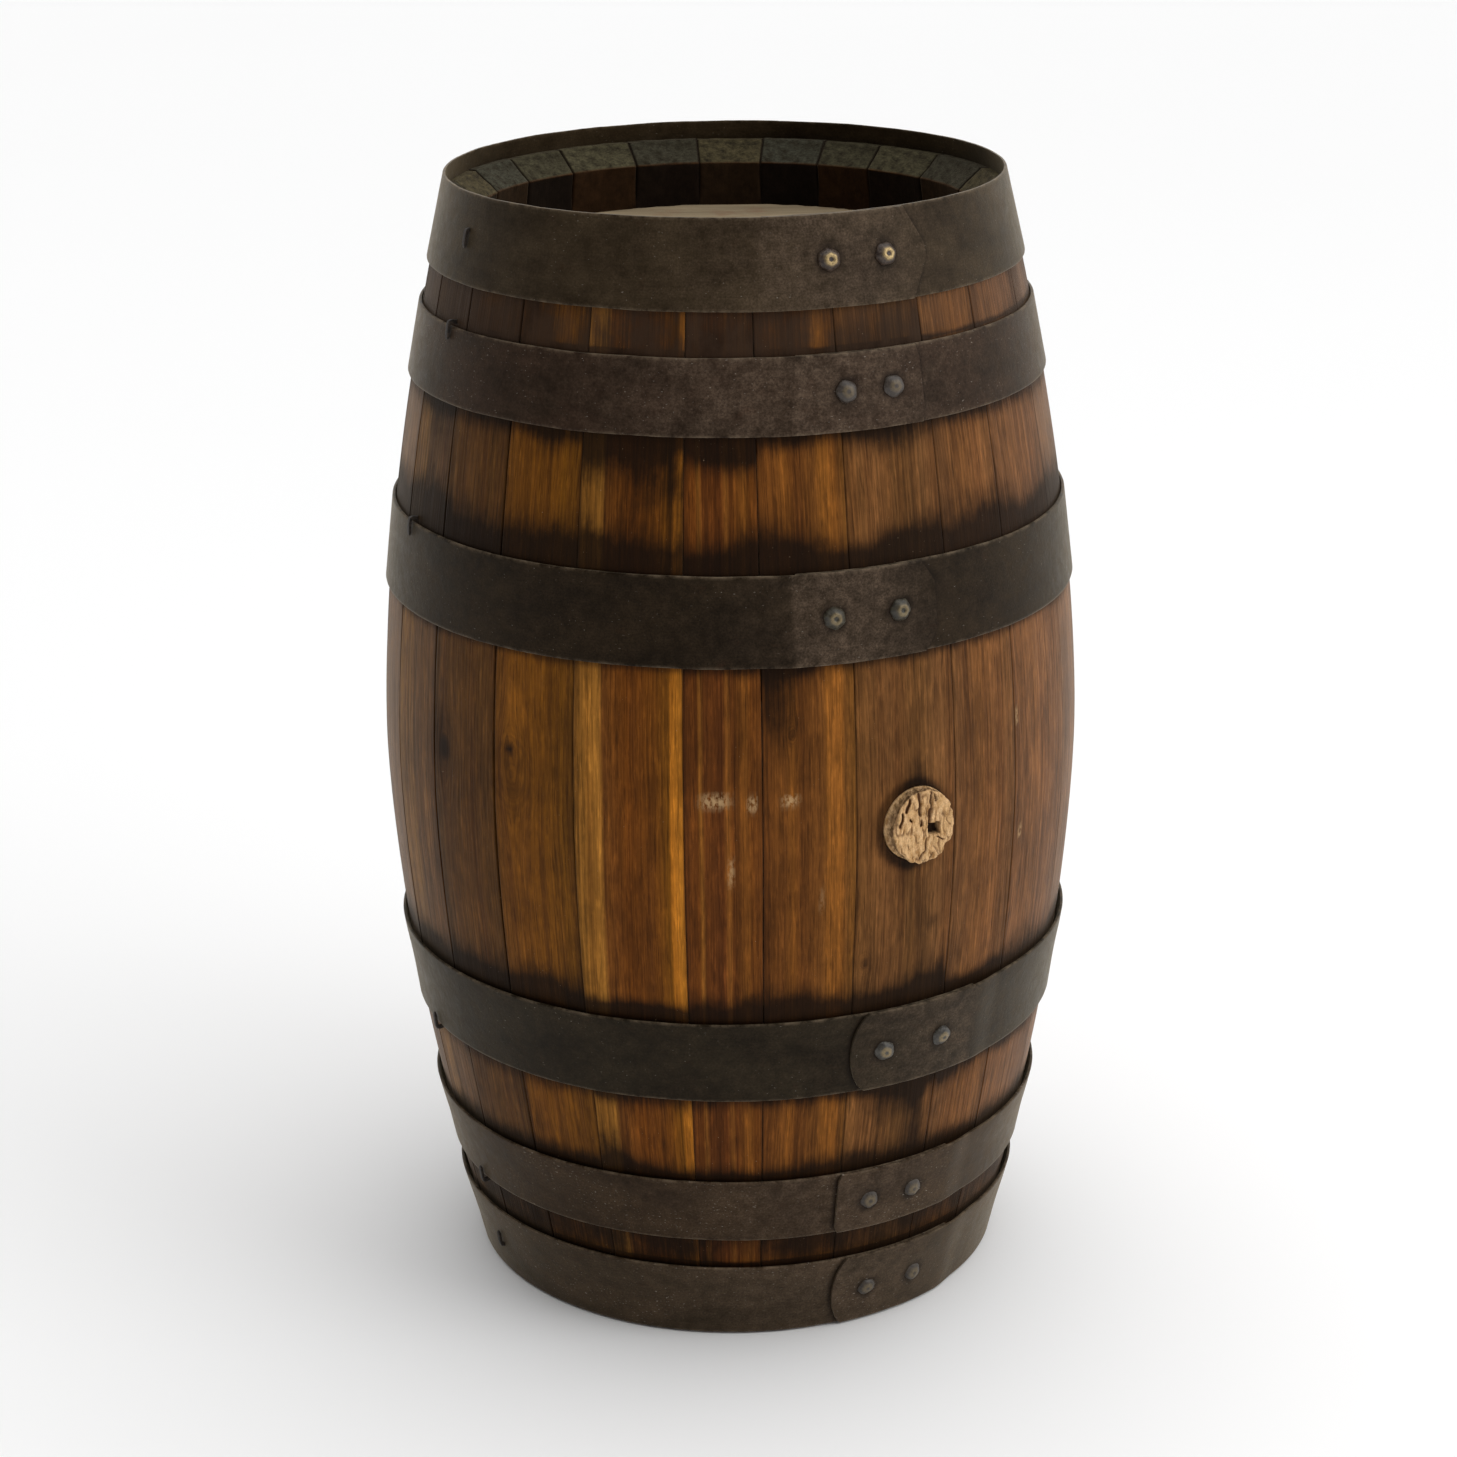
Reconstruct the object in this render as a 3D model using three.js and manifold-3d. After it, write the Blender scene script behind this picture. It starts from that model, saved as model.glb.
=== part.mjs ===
// Oak wine barrel standing on end: bowed staves, riveted steel hoops, two boarded heads and a cork bung.
// Millimetres, +Z up, origin on the barrel's axis at the floor. The bung hole faces -Y.
// An azimuth is measured round the axis from -Y towards +X, in degrees.
import * as THREE from 'three';
import { mergeVertices } from 'three/addons/utils/BufferGeometryUtils.js';
import Module from 'manifold-3d';

const wasm = await Module();
wasm.setup();

// ---- Whole barrel ----
const HEIGHT = 750; // floor to the upper rim of the top hoop
const STAVE_LENGTH = 738; // the top hoop stands proud of the stave ends
const BILGE_RADIUS = 234; // widest, at half height
const END_RADIUS = 179;
const BOW_POWER = 1.7; // 2 would be a parabola; less is straighter towards the ends
const GAP = 0.35; // clearance between pieces that touch

// ---- Staves ----
// Widths at the bilge, one after another from the bung stave round towards +X.
const STAVE_WIDTHS = [
  72, 57, 74, 73, 79, 78, 71, 57, 59, 61, 65, 72,
  62, 60, 57, 55, 57, 57, 61, 61, 72, 49, 60,
];
const BUNG_TO_JOINT = 42; // bung centre to the bung stave's first edge
const END_FLAT = 6.5; // width of the flat left on a stave's end
const BEVEL_DEPTH = 14; // height of the sloping chime bevel
const BEVEL_THICKNESS = 25; // stave thickness where the bevel ends
const CHIME_DEPTH = 40; // stave end down to the head
const CHIME_THICKNESS = 28; // stave thickness at the head
const CROZE_DEPTH = 5; // groove that holds the head
const CROZE_FACE = 5; // head's outer face to the groove
const CROZE_WIDTH = 7;
const WALL_DEPTH = 58; // stave end to where the hollowed inside begins
const WALL_THICKNESS = 27;
const BELLY_THICKNESS = 21;
const BELLY_STEPS = 6; // straight runs in the hollowed inside
const BELLY_RING = 64; // rings of points this far above and below the bilge shape the outside

// ---- Heads ----
const HEAD_THICKNESS = 18;
const HEAD_BOARD_WIDTHS = [70, 62, 74, 64, 70];
const HEAD_BEVEL = 12; // width of the slope round a head's rim
const HEAD_LAND = 7; // flat rim that sits in the groove
const HEAD_CLEARANCE = 1; // rim to the bottom of the groove
const HEAD_SEGMENTS = 48;
const TONGUE_WIDTH = 6;
const TONGUE_DEPTH = 5;
const TOP_HEAD_TURN = -30; // azimuth turn of the boards
const BOTTOM_HEAD_TURN = 20;

// ---- Hoops ----
// seam: azimuth midway between the two rivets. side: where the outer layer ends, 1 towards +X.
// pitch: rivet to rivet. tail: near rivet to the outer end. lead: far rivet to the hidden inner end.
const HOOPS = [
  { name: 'hoop_head_top', top: 750, bottom: 695, seam: -5, side: 1, pitch: 37, tail: 30, lead: 40 },
  { name: 'hoop_quarter_top', top: 669, bottom: 622, seam: -5, side: 1, pitch: 31, tail: 21, lead: 30 },
  { name: 'hoop_bilge_top', top: 540, bottom: 483, seam: -8, side: 1, pitch: 43, tail: 26, lead: 23 },
  { name: 'hoop_bilge_bottom', top: 247, bottom: 189, seam: 1, side: -1, pitch: 43, tail: 23, lead: 26 },
  { name: 'hoop_quarter_bottom', top: 127, bottom: 79, seam: 0, side: -1, pitch: 33, tail: 23, lead: 26 },
  { name: 'hoop_head_bottom', top: 57, bottom: 1, seam: 3, side: -1, pitch: 37, tail: 25, lead: 26 },
];
const FLOOR_GAP = 1; // floor to the lowest hoop
const HOOP_THICKNESS = 1.8;
const JOGGLE = 6; // length of the bend that lifts the outer layer over the inner one
const CORNER_CUT = 7; // clipped corners of the outer end
const CUTTER_CLEARANCE = 0.5; // keeps the corner cutters off the inner layer

// ---- Rivets ----
const RIVET_HEAD_RADIUS = 7;
const RIVET_HEAD_HEIGHT = 4.5;
const RIVET_SHOULDER_HEIGHT = 3.2; // where the cone-shaped head turns in
const RIVET_SHANK_RADIUS = 2.8;
const RIVET_TIP_RADIUS = 3; // flat tip of the cone-shaped head
const RIVET_PIT_RADIUS = 1.6; // the peened pit in the tip
const RIVET_PIT_DEPTH = 0.8;
const ROUND_SIDES = 12;

// ---- Hoop nails ----
// azimuth and height of each nail's shank; bend: which way its bent head lies along the hoop.
const NAILS = [
  { name: 'hoop_nail_1', azimuth: -88, z: 728, bend: -1 },
  { name: 'hoop_nail_2', azimuth: -89, z: 671.5, bend: -1 },
  { name: 'hoop_nail_3', azimuth: -95, z: 542.5, bend: -1 },
  { name: 'hoop_nail_4', azimuth: -95, z: 186.5, bend: 1 },
  { name: 'hoop_nail_5', azimuth: -89, z: 76.5, bend: 1 },
  { name: 'hoop_nail_6', azimuth: -89, z: 24, bend: 1 },
];
const NAIL_SIZE = 2.6; // square section
const NAIL_SHANK = 15; // length in the wood
const NAIL_HEAD = 12; // length of the bent head

// ---- Bung ----
const BUNG_HEIGHT = 372;
const BUNG_MOUTH_RADIUS = 25; // hole radius at the stave's outer face
const BUNG_TAPER = 0.12; // radius lost per millimetre of depth
const BUNG_PROUD = 8;
const BUNG_LENGTH = 35;
const BUNG_CHAMFER = 1.5;
const BUNG_SIDES = 32;
const BUNG_PIT = { size: 8, depth: 7, across: 7.5, up: -1 }; // square pit in its outer face

// ---- Materials ----
const material = (color, roughness, metalness = 0) =>
  new THREE.MeshStandardMaterial({ color, roughness, metalness });
const OAK_COLOURS = ['#8a5a30', '#9a6a3a', '#7a4f2b', '#a0703f'];
const headMaterial = () => material('#a89a80', 0.8);
const hoopMaterial = () => material('#544e45', 0.5, 0.9);
const rivetMaterial = () => material('#8c7f63', 0.4, 0.9);
const nailMaterial = () => material('#2f2b27', 0.6, 0.9);
const corkMaterial = () => material('#b58a5a', 0.9);

const radians = THREE.MathUtils.degToRad;
const midHeight = HEIGHT / 2;
const barrel = new THREE.Group();

// Outside radius of the wood: most curved at the bilge, straighter towards both ends.
const bow = BILGE_RADIUS - END_RADIUS;
const fromMiddle = (z) => (z - midHeight) / midHeight;
const outerRadius = (z) => BILGE_RADIUS - bow * Math.abs(fromMiddle(z)) ** BOW_POWER;
const outerSlope = (z) =>
  (-Math.sign(fromMiddle(z)) * BOW_POWER * bow * Math.abs(fromMiddle(z)) ** (BOW_POWER - 1)) / midHeight;

// ---- Solids ----
function toSolid(source) {
  source.deleteAttribute('normal');
  source.deleteAttribute('uv');
  const geometry = mergeVertices(source);
  return new wasm.Manifold(new wasm.Mesh({
    numProp: 3,
    vertProperties: new Float32Array(geometry.attributes.position.array),
    triVerts: new Uint32Array(geometry.index.array),
  }));
}

function toGeometry(solid) {
  const { vertProperties, triVerts } = solid.getMesh();
  const geometry = new THREE.BufferGeometry();
  geometry.setAttribute('position', new THREE.BufferAttribute(vertProperties, 3));
  geometry.setIndex(new THREE.BufferAttribute(triVerts, 1));
  geometry.computeVertexNormals();
  return geometry;
}

function addMesh(name, geometry, look, parent = barrel) {
  const mesh = new THREE.Mesh(geometry, look);
  mesh.name = name;
  parent.add(mesh);
  return mesh;
}

// A frame on the barrel's skin: +X out of the wood, +Y round towards +X azimuths, +Z up the stave.
function station(azimuth, z, lift = 0) {
  const turn = new THREE.Group();
  turn.rotation.z = radians(azimuth - 90);
  const tilt = new THREE.Group();
  tilt.position.set(outerRadius(z), 0, z);
  tilt.rotation.y = Math.atan(outerSlope(z));
  const seat = new THREE.Group();
  seat.position.x = lift;
  tilt.add(seat);
  turn.add(tilt);
  barrel.add(turn);
  turn.updateMatrixWorld(true);
  return seat;
}

// Turns a lathe or cylinder made about +Y so that it points out of a station.
const facingOut = (geometry) => geometry.rotateZ(-Math.PI / 2);

// ---- Stave layout ----
const totalWidth = STAVE_WIDTHS.reduce((sum, width) => sum + width, 0);
const degreesPerWidth = 360 / totalWidth;
const staves = [];
let edge = -BUNG_TO_JOINT * degreesPerWidth;
for (const width of STAVE_WIDTHS) {
  const span = width * degreesPerWidth;
  staves.push({ start: edge, span });
  edge += span;
}
// Every ring has a corner at each stave's edge and at its middle, so that the flats lie face to face.
const ringCorners = staves.flatMap(({ start, span }) => [start, start + span / 2]);

// How far inside the true circle the flat between two corners lies, as a share of the radius.
function flatShare(azimuth) {
  const turned = THREE.MathUtils.euclideanModulo(azimuth - ringCorners[0], 360) + ringCorners[0];
  const next = ringCorners.findIndex((corner) => corner > turned + 1e-9);
  const low = next < 0 ? ringCorners.at(-1) : ringCorners[next - 1];
  const high = next < 0 ? ringCorners[0] + 360 : ringCorners[next];
  return Math.cos(radians((high - low) / 2)) / Math.cos(radians(turned - (low + high) / 2));
}

// ---- Staves ----
// Outside points at the hoops' edges, so that each hoop lies on one flat of the wood.
function outsideHeights() {
  const reachesEnd = (z) => z <= FLOOR_GAP || z >= STAVE_LENGTH;
  const edges = HOOPS.flatMap(({ top, bottom }) => [bottom, top]).filter((z) => !reachesEnd(z));
  const belly = [midHeight - BELLY_RING, midHeight, midHeight + BELLY_RING];
  return [0, STAVE_LENGTH, ...edges, ...belly].sort((a, b) => a - b);
}

// One end of the inside, from the end flat inwards, as depth from the end and thickness of wood.
const CHIME = [
  [0, END_FLAT],
  [BEVEL_DEPTH, BEVEL_THICKNESS],
  [CHIME_DEPTH + CROZE_FACE, CHIME_THICKNESS],
  [CHIME_DEPTH + CROZE_FACE, CHIME_THICKNESS - CROZE_DEPTH],
  [CHIME_DEPTH + CROZE_FACE + CROZE_WIDTH, CHIME_THICKNESS - CROZE_DEPTH],
  [CHIME_DEPTH + CROZE_FACE + CROZE_WIDTH, CHIME_THICKNESS],
  [WALL_DEPTH, WALL_THICKNESS],
];

function staveProfile() {
  const outside = outsideHeights().map((z) => new THREE.Vector2(outerRadius(z), z));
  const chimeAt = (zOf) => CHIME.map(([depth, thickness]) =>
    new THREE.Vector2(outerRadius(zOf(depth)) - thickness, zOf(depth)));
  const topEnd = chimeAt((depth) => STAVE_LENGTH - depth);
  const bottomEnd = chimeAt((depth) => depth).reverse();
  const hollow = [];
  for (let step = 1; step < BELLY_STEPS; step += 1) {
    const share = step / BELLY_STEPS;
    const z = THREE.MathUtils.lerp(STAVE_LENGTH - WALL_DEPTH, WALL_DEPTH, share);
    const bow = 4 * share * (1 - share);
    const thickness = THREE.MathUtils.lerp(WALL_THICKNESS, BELLY_THICKNESS, bow);
    hollow.push(new THREE.Vector2(outerRadius(z) - thickness, z));
  }
  return [...outside, ...topEnd, ...hollow, ...bottomEnd];
}

// The profile swept over the stave's width in two flats, and closed by a flat side at each edge.
function staveGeometry({ start, span }) {
  const profile = staveProfile();
  const shave = THREE.MathUtils.radToDeg(GAP / 2 / BILGE_RADIUS);
  const skin = new THREE.LatheGeometry(
    [...profile, profile[0]], 2, radians(start + shave), radians(span - 2 * shave));
  const side = THREE.ShapeUtils.triangulateShape(profile, []);
  const farRing = 2 * (profile.length + 1);
  const farSide = side.map((face) => face.map((corner) => corner + farRing).reverse());
  skin.setIndex([...skin.index.array, ...side.flat(), ...farSide.flat()]);
  return skin.rotateX(Math.PI / 2);
}

// ---- Hoops ----
const hoopRadiusAt = ({ top, bottom }) => {
  const low = bottom > FLOOR_GAP ? bottom : 0;
  const high = Math.min(top, STAVE_LENGTH);
  const slope = (outerRadius(high) - outerRadius(low)) / (high - low);
  return (z) => outerRadius(low) + slope * (z - low) + GAP;
};

// The strap seen from above: once round under itself, a bend outwards, then over its own start.
function hoopOutline(hoop, radius) {
  const degrees = (length) => THREE.MathUtils.radToDeg(length / radius);
  const innerEnd = degrees(-hoop.pitch / 2 - hoop.lead);
  const outerEnd = 360 + degrees(hoop.pitch / 2 + hoop.tail);
  const bendEnd = 360 + innerEnd - degrees(2 * GAP);
  const bendStart = bendEnd - degrees(JOGGLE);
  const azimuthAt = (run) => hoop.seam + hoop.side * run;
  const corners = [];
  for (let lap = -1; lap <= 2; lap += 1) {
    corners.push(...ringCorners.map((corner) => hoop.side * (corner + 360 * lap - hoop.seam)));
  }
  const inReach = corners.filter((run) => run > innerEnd && run < outerEnd);
  const runs = [innerEnd, bendStart, bendEnd, outerEnd, ...inReach].sort((a, b) => a - b);
  const bendShare = (run) => THREE.MathUtils.clamp((run - bendStart) / (bendEnd - bendStart), 0, 1);
  const lift = (run) => (HOOP_THICKNESS + GAP) * bendShare(run);
  const pointAt = (run, extra) => {
    const azimuth = azimuthAt(run);
    const r = radius * flatShare(azimuth) + lift(run) + extra;
    return new THREE.Vector2(r * Math.sin(radians(azimuth)), -r * Math.cos(radians(azimuth)));
  };
  const inside = runs.map((run) => pointAt(run, 0));
  const outside = runs.map((run) => pointAt(run, HOOP_THICKNESS)).reverse();
  return [...inside, ...outside];
}

function hoopBand(hoop) {
  const radiusAt = hoopRadiusAt(hoop);
  const reference = radiusAt(hoop.bottom);
  const band = new THREE.ExtrudeGeometry(new THREE.Shape(hoopOutline(hoop, reference)), {
    depth: hoop.top - hoop.bottom,
    bevelEnabled: false,
  });
  band.translate(0, 0, hoop.bottom);
  const { position } = band.attributes;
  const point = new THREE.Vector3();
  for (let i = 0; i < position.count; i += 1) {
    point.fromBufferAttribute(position, i);
    const radius = Math.hypot(point.x, point.y);
    const share = (radius + radiusAt(point.z) - reference) / radius;
    position.setXY(i, point.x * share, point.y * share);
  }
  return toSolid(band);
}

// Square bars, set on edge, that clip the corners of a hoop's outer end.
function cornerCutters(hoop) {
  const radius = outerRadius((hoop.top + hoop.bottom) / 2);
  const end = hoop.seam + hoop.side * THREE.MathUtils.radToDeg((hoop.pitch / 2 + hoop.tail) / radius);
  return [hoop.top, hoop.bottom].map((z) => {
    const seat = station(end, z, HOOP_THICKNESS + CUTTER_CLEARANCE);
    const side = CORNER_CUT * Math.SQRT2;
    const cutter = new THREE.BoxGeometry(2 * HOOP_THICKNESS, side, side);
    cutter.rotateX(Math.PI / 4);
    cutter.translate(HOOP_THICKNESS, 0, 0);
    return toSolid(cutter.applyMatrix4(seat.matrixWorld));
  });
}

// ---- Rivets ----
const rivetPlaces = HOOPS.flatMap((hoop) => {
  const z = (hoop.top + hoop.bottom) / 2;
  const half = THREE.MathUtils.radToDeg(hoop.pitch / 2 / outerRadius(z));
  return [-half, half].map((offset, i) => ({
    name: `rivet_${hoop.name.slice(5)}_${i + 1}`, hoop: hoop.name, azimuth: hoop.seam + offset, z,
  }));
});
const LAYERS = 2 * HOOP_THICKNESS + GAP;

function rivetGeometry() {
  const foot = LAYERS + GAP;
  const tip = foot + RIVET_HEAD_HEIGHT;
  const shoulder = (RIVET_HEAD_RADIUS + RIVET_TIP_RADIUS) / 2;
  const profile = [
    new THREE.Vector2(0, 0),
    new THREE.Vector2(RIVET_SHANK_RADIUS, 0),
    new THREE.Vector2(RIVET_SHANK_RADIUS, foot),
    new THREE.Vector2(RIVET_HEAD_RADIUS, foot),
    new THREE.Vector2(shoulder, foot + RIVET_SHOULDER_HEIGHT),
    new THREE.Vector2(RIVET_TIP_RADIUS, tip),
    new THREE.Vector2(RIVET_PIT_RADIUS, tip),
    new THREE.Vector2(0, tip - RIVET_PIT_DEPTH),
  ];
  return facingOut(new THREE.LatheGeometry(profile, ROUND_SIDES));
}

function rivetHole(seat) {
  const radius = RIVET_SHANK_RADIUS + GAP;
  const hole = new THREE.CylinderGeometry(radius, radius, 4 * LAYERS, ROUND_SIDES);
  return toSolid(facingOut(hole).applyMatrix4(seat.matrixWorld));
}

// ---- Hoop nails ----
const nailLift = 2 * GAP + HOOP_THICKNESS;

// Side view of a nail: a shank into the wood and a head bent flat over the hoop.
function nailGeometry(bend, clearance = 0) {
  const half = NAIL_SIZE / 2 + clearance;
  const outline = [
    [-NAIL_SHANK - clearance, -half],
    [nailLift + NAIL_SIZE, -half],
    [nailLift + NAIL_SIZE, NAIL_HEAD],
    [nailLift, NAIL_HEAD],
    [nailLift, half],
    [-NAIL_SHANK - clearance, half],
  ];
  const shape = new THREE.Shape(outline.map(([out, up]) => new THREE.Vector2(out, up * bend)));
  const nail = new THREE.ExtrudeGeometry(shape, { depth: 2 * half, bevelEnabled: false });
  return nail.translate(0, 0, -half).rotateX(Math.PI / 2);
}

// ---- Bung ----
const bungRadius = (depth) => BUNG_MOUTH_RADIUS - BUNG_TAPER * depth;

function bungSolid() {
  const inner = bungRadius(BUNG_LENGTH - BUNG_PROUD) - GAP;
  const outer = bungRadius(-BUNG_PROUD) - GAP;
  const profile = [
    new THREE.Vector2(0, BUNG_PROUD - BUNG_LENGTH),
    new THREE.Vector2(inner - BUNG_CHAMFER, BUNG_PROUD - BUNG_LENGTH),
    new THREE.Vector2(inner, BUNG_PROUD - BUNG_LENGTH + BUNG_CHAMFER),
    new THREE.Vector2(outer, BUNG_PROUD - BUNG_CHAMFER),
    new THREE.Vector2(outer - BUNG_CHAMFER, BUNG_PROUD),
    new THREE.Vector2(0, BUNG_PROUD),
  ];
  const { size, depth, across, up } = BUNG_PIT;
  const pit = new THREE.BoxGeometry(2 * depth, size, size).translate(BUNG_PROUD, across, up);
  return toSolid(facingOut(new THREE.LatheGeometry(profile, BUNG_SIDES))).subtract(toSolid(pit));
}

function bungHole(seat) {
  const reach = BELLY_THICKNESS * 2;
  const hole = new THREE.CylinderGeometry(bungRadius(-reach), bungRadius(reach), 2 * reach, BUNG_SIDES);
  return toSolid(facingOut(hole).applyMatrix4(seat.matrixWorld));
}

// ---- Heads ----
// A disc with both rims sloped down to an edge that sits in the groove. outside: 1 up, -1 down.
function headDisc(endZ, outside) {
  const faceZ = endZ - outside * CHIME_DEPTH;
  const grooveZ = faceZ - outside * CROZE_FACE;
  const grooveEndZ = grooveZ - outside * CROZE_WIDTH;
  const backZ = faceZ - outside * HEAD_THICKNESS;
  const rim = outerRadius(grooveZ) - CHIME_THICKNESS + CROZE_DEPTH - HEAD_CLEARANCE;
  const slopeFoot = rim - HEAD_LAND;
  const corners = [
    new THREE.Vector2(0, backZ),
    new THREE.Vector2(slopeFoot - HEAD_BEVEL, backZ),
    new THREE.Vector2(slopeFoot, grooveEndZ + outside * GAP),
    new THREE.Vector2(rim, grooveEndZ + outside * GAP),
    new THREE.Vector2(rim, grooveZ - outside * GAP),
    new THREE.Vector2(slopeFoot, grooveZ - outside * GAP),
    new THREE.Vector2(slopeFoot - HEAD_BEVEL, faceZ),
    new THREE.Vector2(0, faceZ),
  ];
  const profile = outside > 0 ? corners : corners.reverse();
  return toSolid(new THREE.LatheGeometry(profile, HEAD_SEGMENTS).rotateX(Math.PI / 2));
}

// One board's section: a tongue on its far edge and a groove on its near edge.
function boardSection(low, high, hasGroove, hasTongue, backZ, faceZ) {
  const middle = (backZ + faceZ) / 2;
  const half = TONGUE_WIDTH / 2;
  const shape = new THREE.Shape();
  shape.moveTo(low, backZ);
  shape.lineTo(high, backZ);
  if (hasTongue) {
    shape.lineTo(high, middle - half + GAP);
    shape.lineTo(high + TONGUE_DEPTH, middle - half + GAP);
    shape.lineTo(high + TONGUE_DEPTH, middle + half - GAP);
    shape.lineTo(high, middle + half - GAP);
  }
  shape.lineTo(high, faceZ);
  shape.lineTo(low, faceZ);
  if (hasGroove) {
    shape.lineTo(low, middle + half);
    shape.lineTo(low + TONGUE_DEPTH + GAP, middle + half);
    shape.lineTo(low + TONGUE_DEPTH + GAP, middle - half);
    shape.lineTo(low, middle - half);
  }
  return shape;
}

function addHead(label, endZ, outside, turn) {
  const disc = headDisc(endZ, outside);
  const faceZ = endZ - outside * CHIME_DEPTH;
  const backZ = faceZ - outside * HEAD_THICKNESS;
  const full = HEAD_BOARD_WIDTHS.reduce((sum, width) => sum + width, 0);
  const last = HEAD_BOARD_WIDTHS.length - 1;
  let near = -full / 2;
  HEAD_BOARD_WIDTHS.forEach((width, i) => {
    const far = near + width - GAP;
    const [low, high] = [Math.min(backZ, faceZ), Math.max(backZ, faceZ)];
    const section = boardSection(near, far, i > 0, i < last, low, high);
    const plank = new THREE.ExtrudeGeometry(section, { depth: 2 * END_RADIUS, bevelEnabled: false });
    plank.translate(0, 0, -END_RADIUS);
    // The section's x and y become the row's Y and Z, and its length runs along X.
    plank.applyMatrix4(new THREE.Matrix4().makeBasis(
      new THREE.Vector3(0, 1, 0), new THREE.Vector3(0, 0, 1), new THREE.Vector3(1, 0, 0)));
    plank.rotateZ(radians(turn));
    addMesh(`head_${label}_board_${i + 1}`, toGeometry(toSolid(plank).intersect(disc)), headMaterial());
    near += width;
  });
}

// ---- Assembly ----
const bungSeat = station(0, BUNG_HEIGHT);
const rivets = rivetPlaces.map((place) => ({ ...place, seat: station(place.azimuth, place.z, GAP) }));
const nails = NAILS.map((nail) => ({ ...nail, seat: station(nail.azimuth, nail.z) }));
const nailRoom = ({ seat, bend }) => toSolid(nailGeometry(bend, GAP).applyMatrix4(seat.matrixWorld));
const holds = ({ start, span }, azimuth) => THREE.MathUtils.euclideanModulo(azimuth - start, 360) < span;

staves.forEach((stave, i) => {
  let solid = toSolid(staveGeometry(stave));
  if (holds(stave, 0)) solid = solid.subtract(bungHole(bungSeat));
  for (const nail of nails) {
    if (holds(stave, nail.azimuth)) solid = solid.subtract(nailRoom(nail));
  }
  const name = holds(stave, 0) ? 'stave_bung' : `stave_${String(i + 1).padStart(2, '0')}`;
  addMesh(name, toGeometry(solid), material(OAK_COLOURS[i % OAK_COLOURS.length], 0.6));
});

for (const hoop of HOOPS) {
  let solid = hoopBand(hoop);
  for (const cutter of cornerCutters(hoop)) solid = solid.subtract(cutter);
  for (const rivet of rivets) {
    if (rivet.hoop === hoop.name) solid = solid.subtract(rivetHole(rivet.seat));
  }
  for (const nail of nails) {
    if (nail.z > hoop.bottom && nail.z < hoop.top) solid = solid.subtract(nailRoom(nail));
  }
  addMesh(hoop.name, toGeometry(solid), hoopMaterial());
}

for (const { name, seat } of rivets) addMesh(name, rivetGeometry(), rivetMaterial(), seat);
for (const { name, seat, bend } of nails) addMesh(name, nailGeometry(bend), nailMaterial(), seat);
addHead('top', STAVE_LENGTH, 1, TOP_HEAD_TURN);
addHead('bottom', 0, -1, BOTTOM_HEAD_TURN);
addMesh('bung', toGeometry(bungSolid()), corkMaterial(), bungSeat);

export default barrel;
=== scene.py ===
"""Looks of the oak wine barrel: fine staves, hoops, rivets, nails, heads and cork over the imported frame.

Lengths are millimetres until a mesh is made, and then metres, in the row frame. An azimuth is
measured round the barrel's axis from -Y, where the bung is, towards +X, in degrees.
"""

import math

import bpy
import numpy as np
from mathutils import Matrix, Vector, noise
from mathutils.kdtree import KDTree


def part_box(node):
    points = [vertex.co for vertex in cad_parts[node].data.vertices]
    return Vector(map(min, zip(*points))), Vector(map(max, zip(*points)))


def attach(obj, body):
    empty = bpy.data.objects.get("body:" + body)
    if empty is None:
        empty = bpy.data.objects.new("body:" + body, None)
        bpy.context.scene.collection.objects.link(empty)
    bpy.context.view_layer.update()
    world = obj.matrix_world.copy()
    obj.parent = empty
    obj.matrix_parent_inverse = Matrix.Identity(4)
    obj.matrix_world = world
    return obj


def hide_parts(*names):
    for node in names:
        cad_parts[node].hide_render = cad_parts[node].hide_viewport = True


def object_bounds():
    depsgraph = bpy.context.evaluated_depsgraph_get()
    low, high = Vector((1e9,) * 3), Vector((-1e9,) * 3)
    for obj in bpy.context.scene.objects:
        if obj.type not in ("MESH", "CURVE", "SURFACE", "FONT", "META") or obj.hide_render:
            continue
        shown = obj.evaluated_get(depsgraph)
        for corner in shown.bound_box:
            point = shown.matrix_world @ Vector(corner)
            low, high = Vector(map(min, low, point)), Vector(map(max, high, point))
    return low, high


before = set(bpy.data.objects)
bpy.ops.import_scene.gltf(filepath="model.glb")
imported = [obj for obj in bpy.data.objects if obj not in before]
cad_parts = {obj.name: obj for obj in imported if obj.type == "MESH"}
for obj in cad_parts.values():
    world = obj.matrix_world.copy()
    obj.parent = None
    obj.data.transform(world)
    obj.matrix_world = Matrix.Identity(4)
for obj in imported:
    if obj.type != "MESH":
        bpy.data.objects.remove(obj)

MM = 0.001
cad_low, cad_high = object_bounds()


# ---- What the frame says ----


def node_points(name):
    """A CAD node's vertices, in millimetres."""
    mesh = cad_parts[name].data
    flat = np.empty(3 * len(mesh.vertices))
    mesh.vertices.foreach_get("co", flat)
    return flat.reshape(-1, 3) / MM


def azimuths(points):
    return np.degrees(np.arctan2(points[:, 0], -points[:, 1]))


def middle(name):
    """Azimuth and height of the middle of a small CAD node."""
    centre = node_points(name).mean(axis=0, keepdims=True)
    return float(azimuths(centre)[0]), float(centre[0, 2])


def azimuth_span(name):
    """First and last azimuth of a stave."""
    points = node_points(name)
    centre = float(azimuths(points.mean(axis=0, keepdims=True))[0])
    turned = (azimuths(points) - centre + 180) % 360 - 180
    return centre + turned.min(), centre + turned.max()


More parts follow.
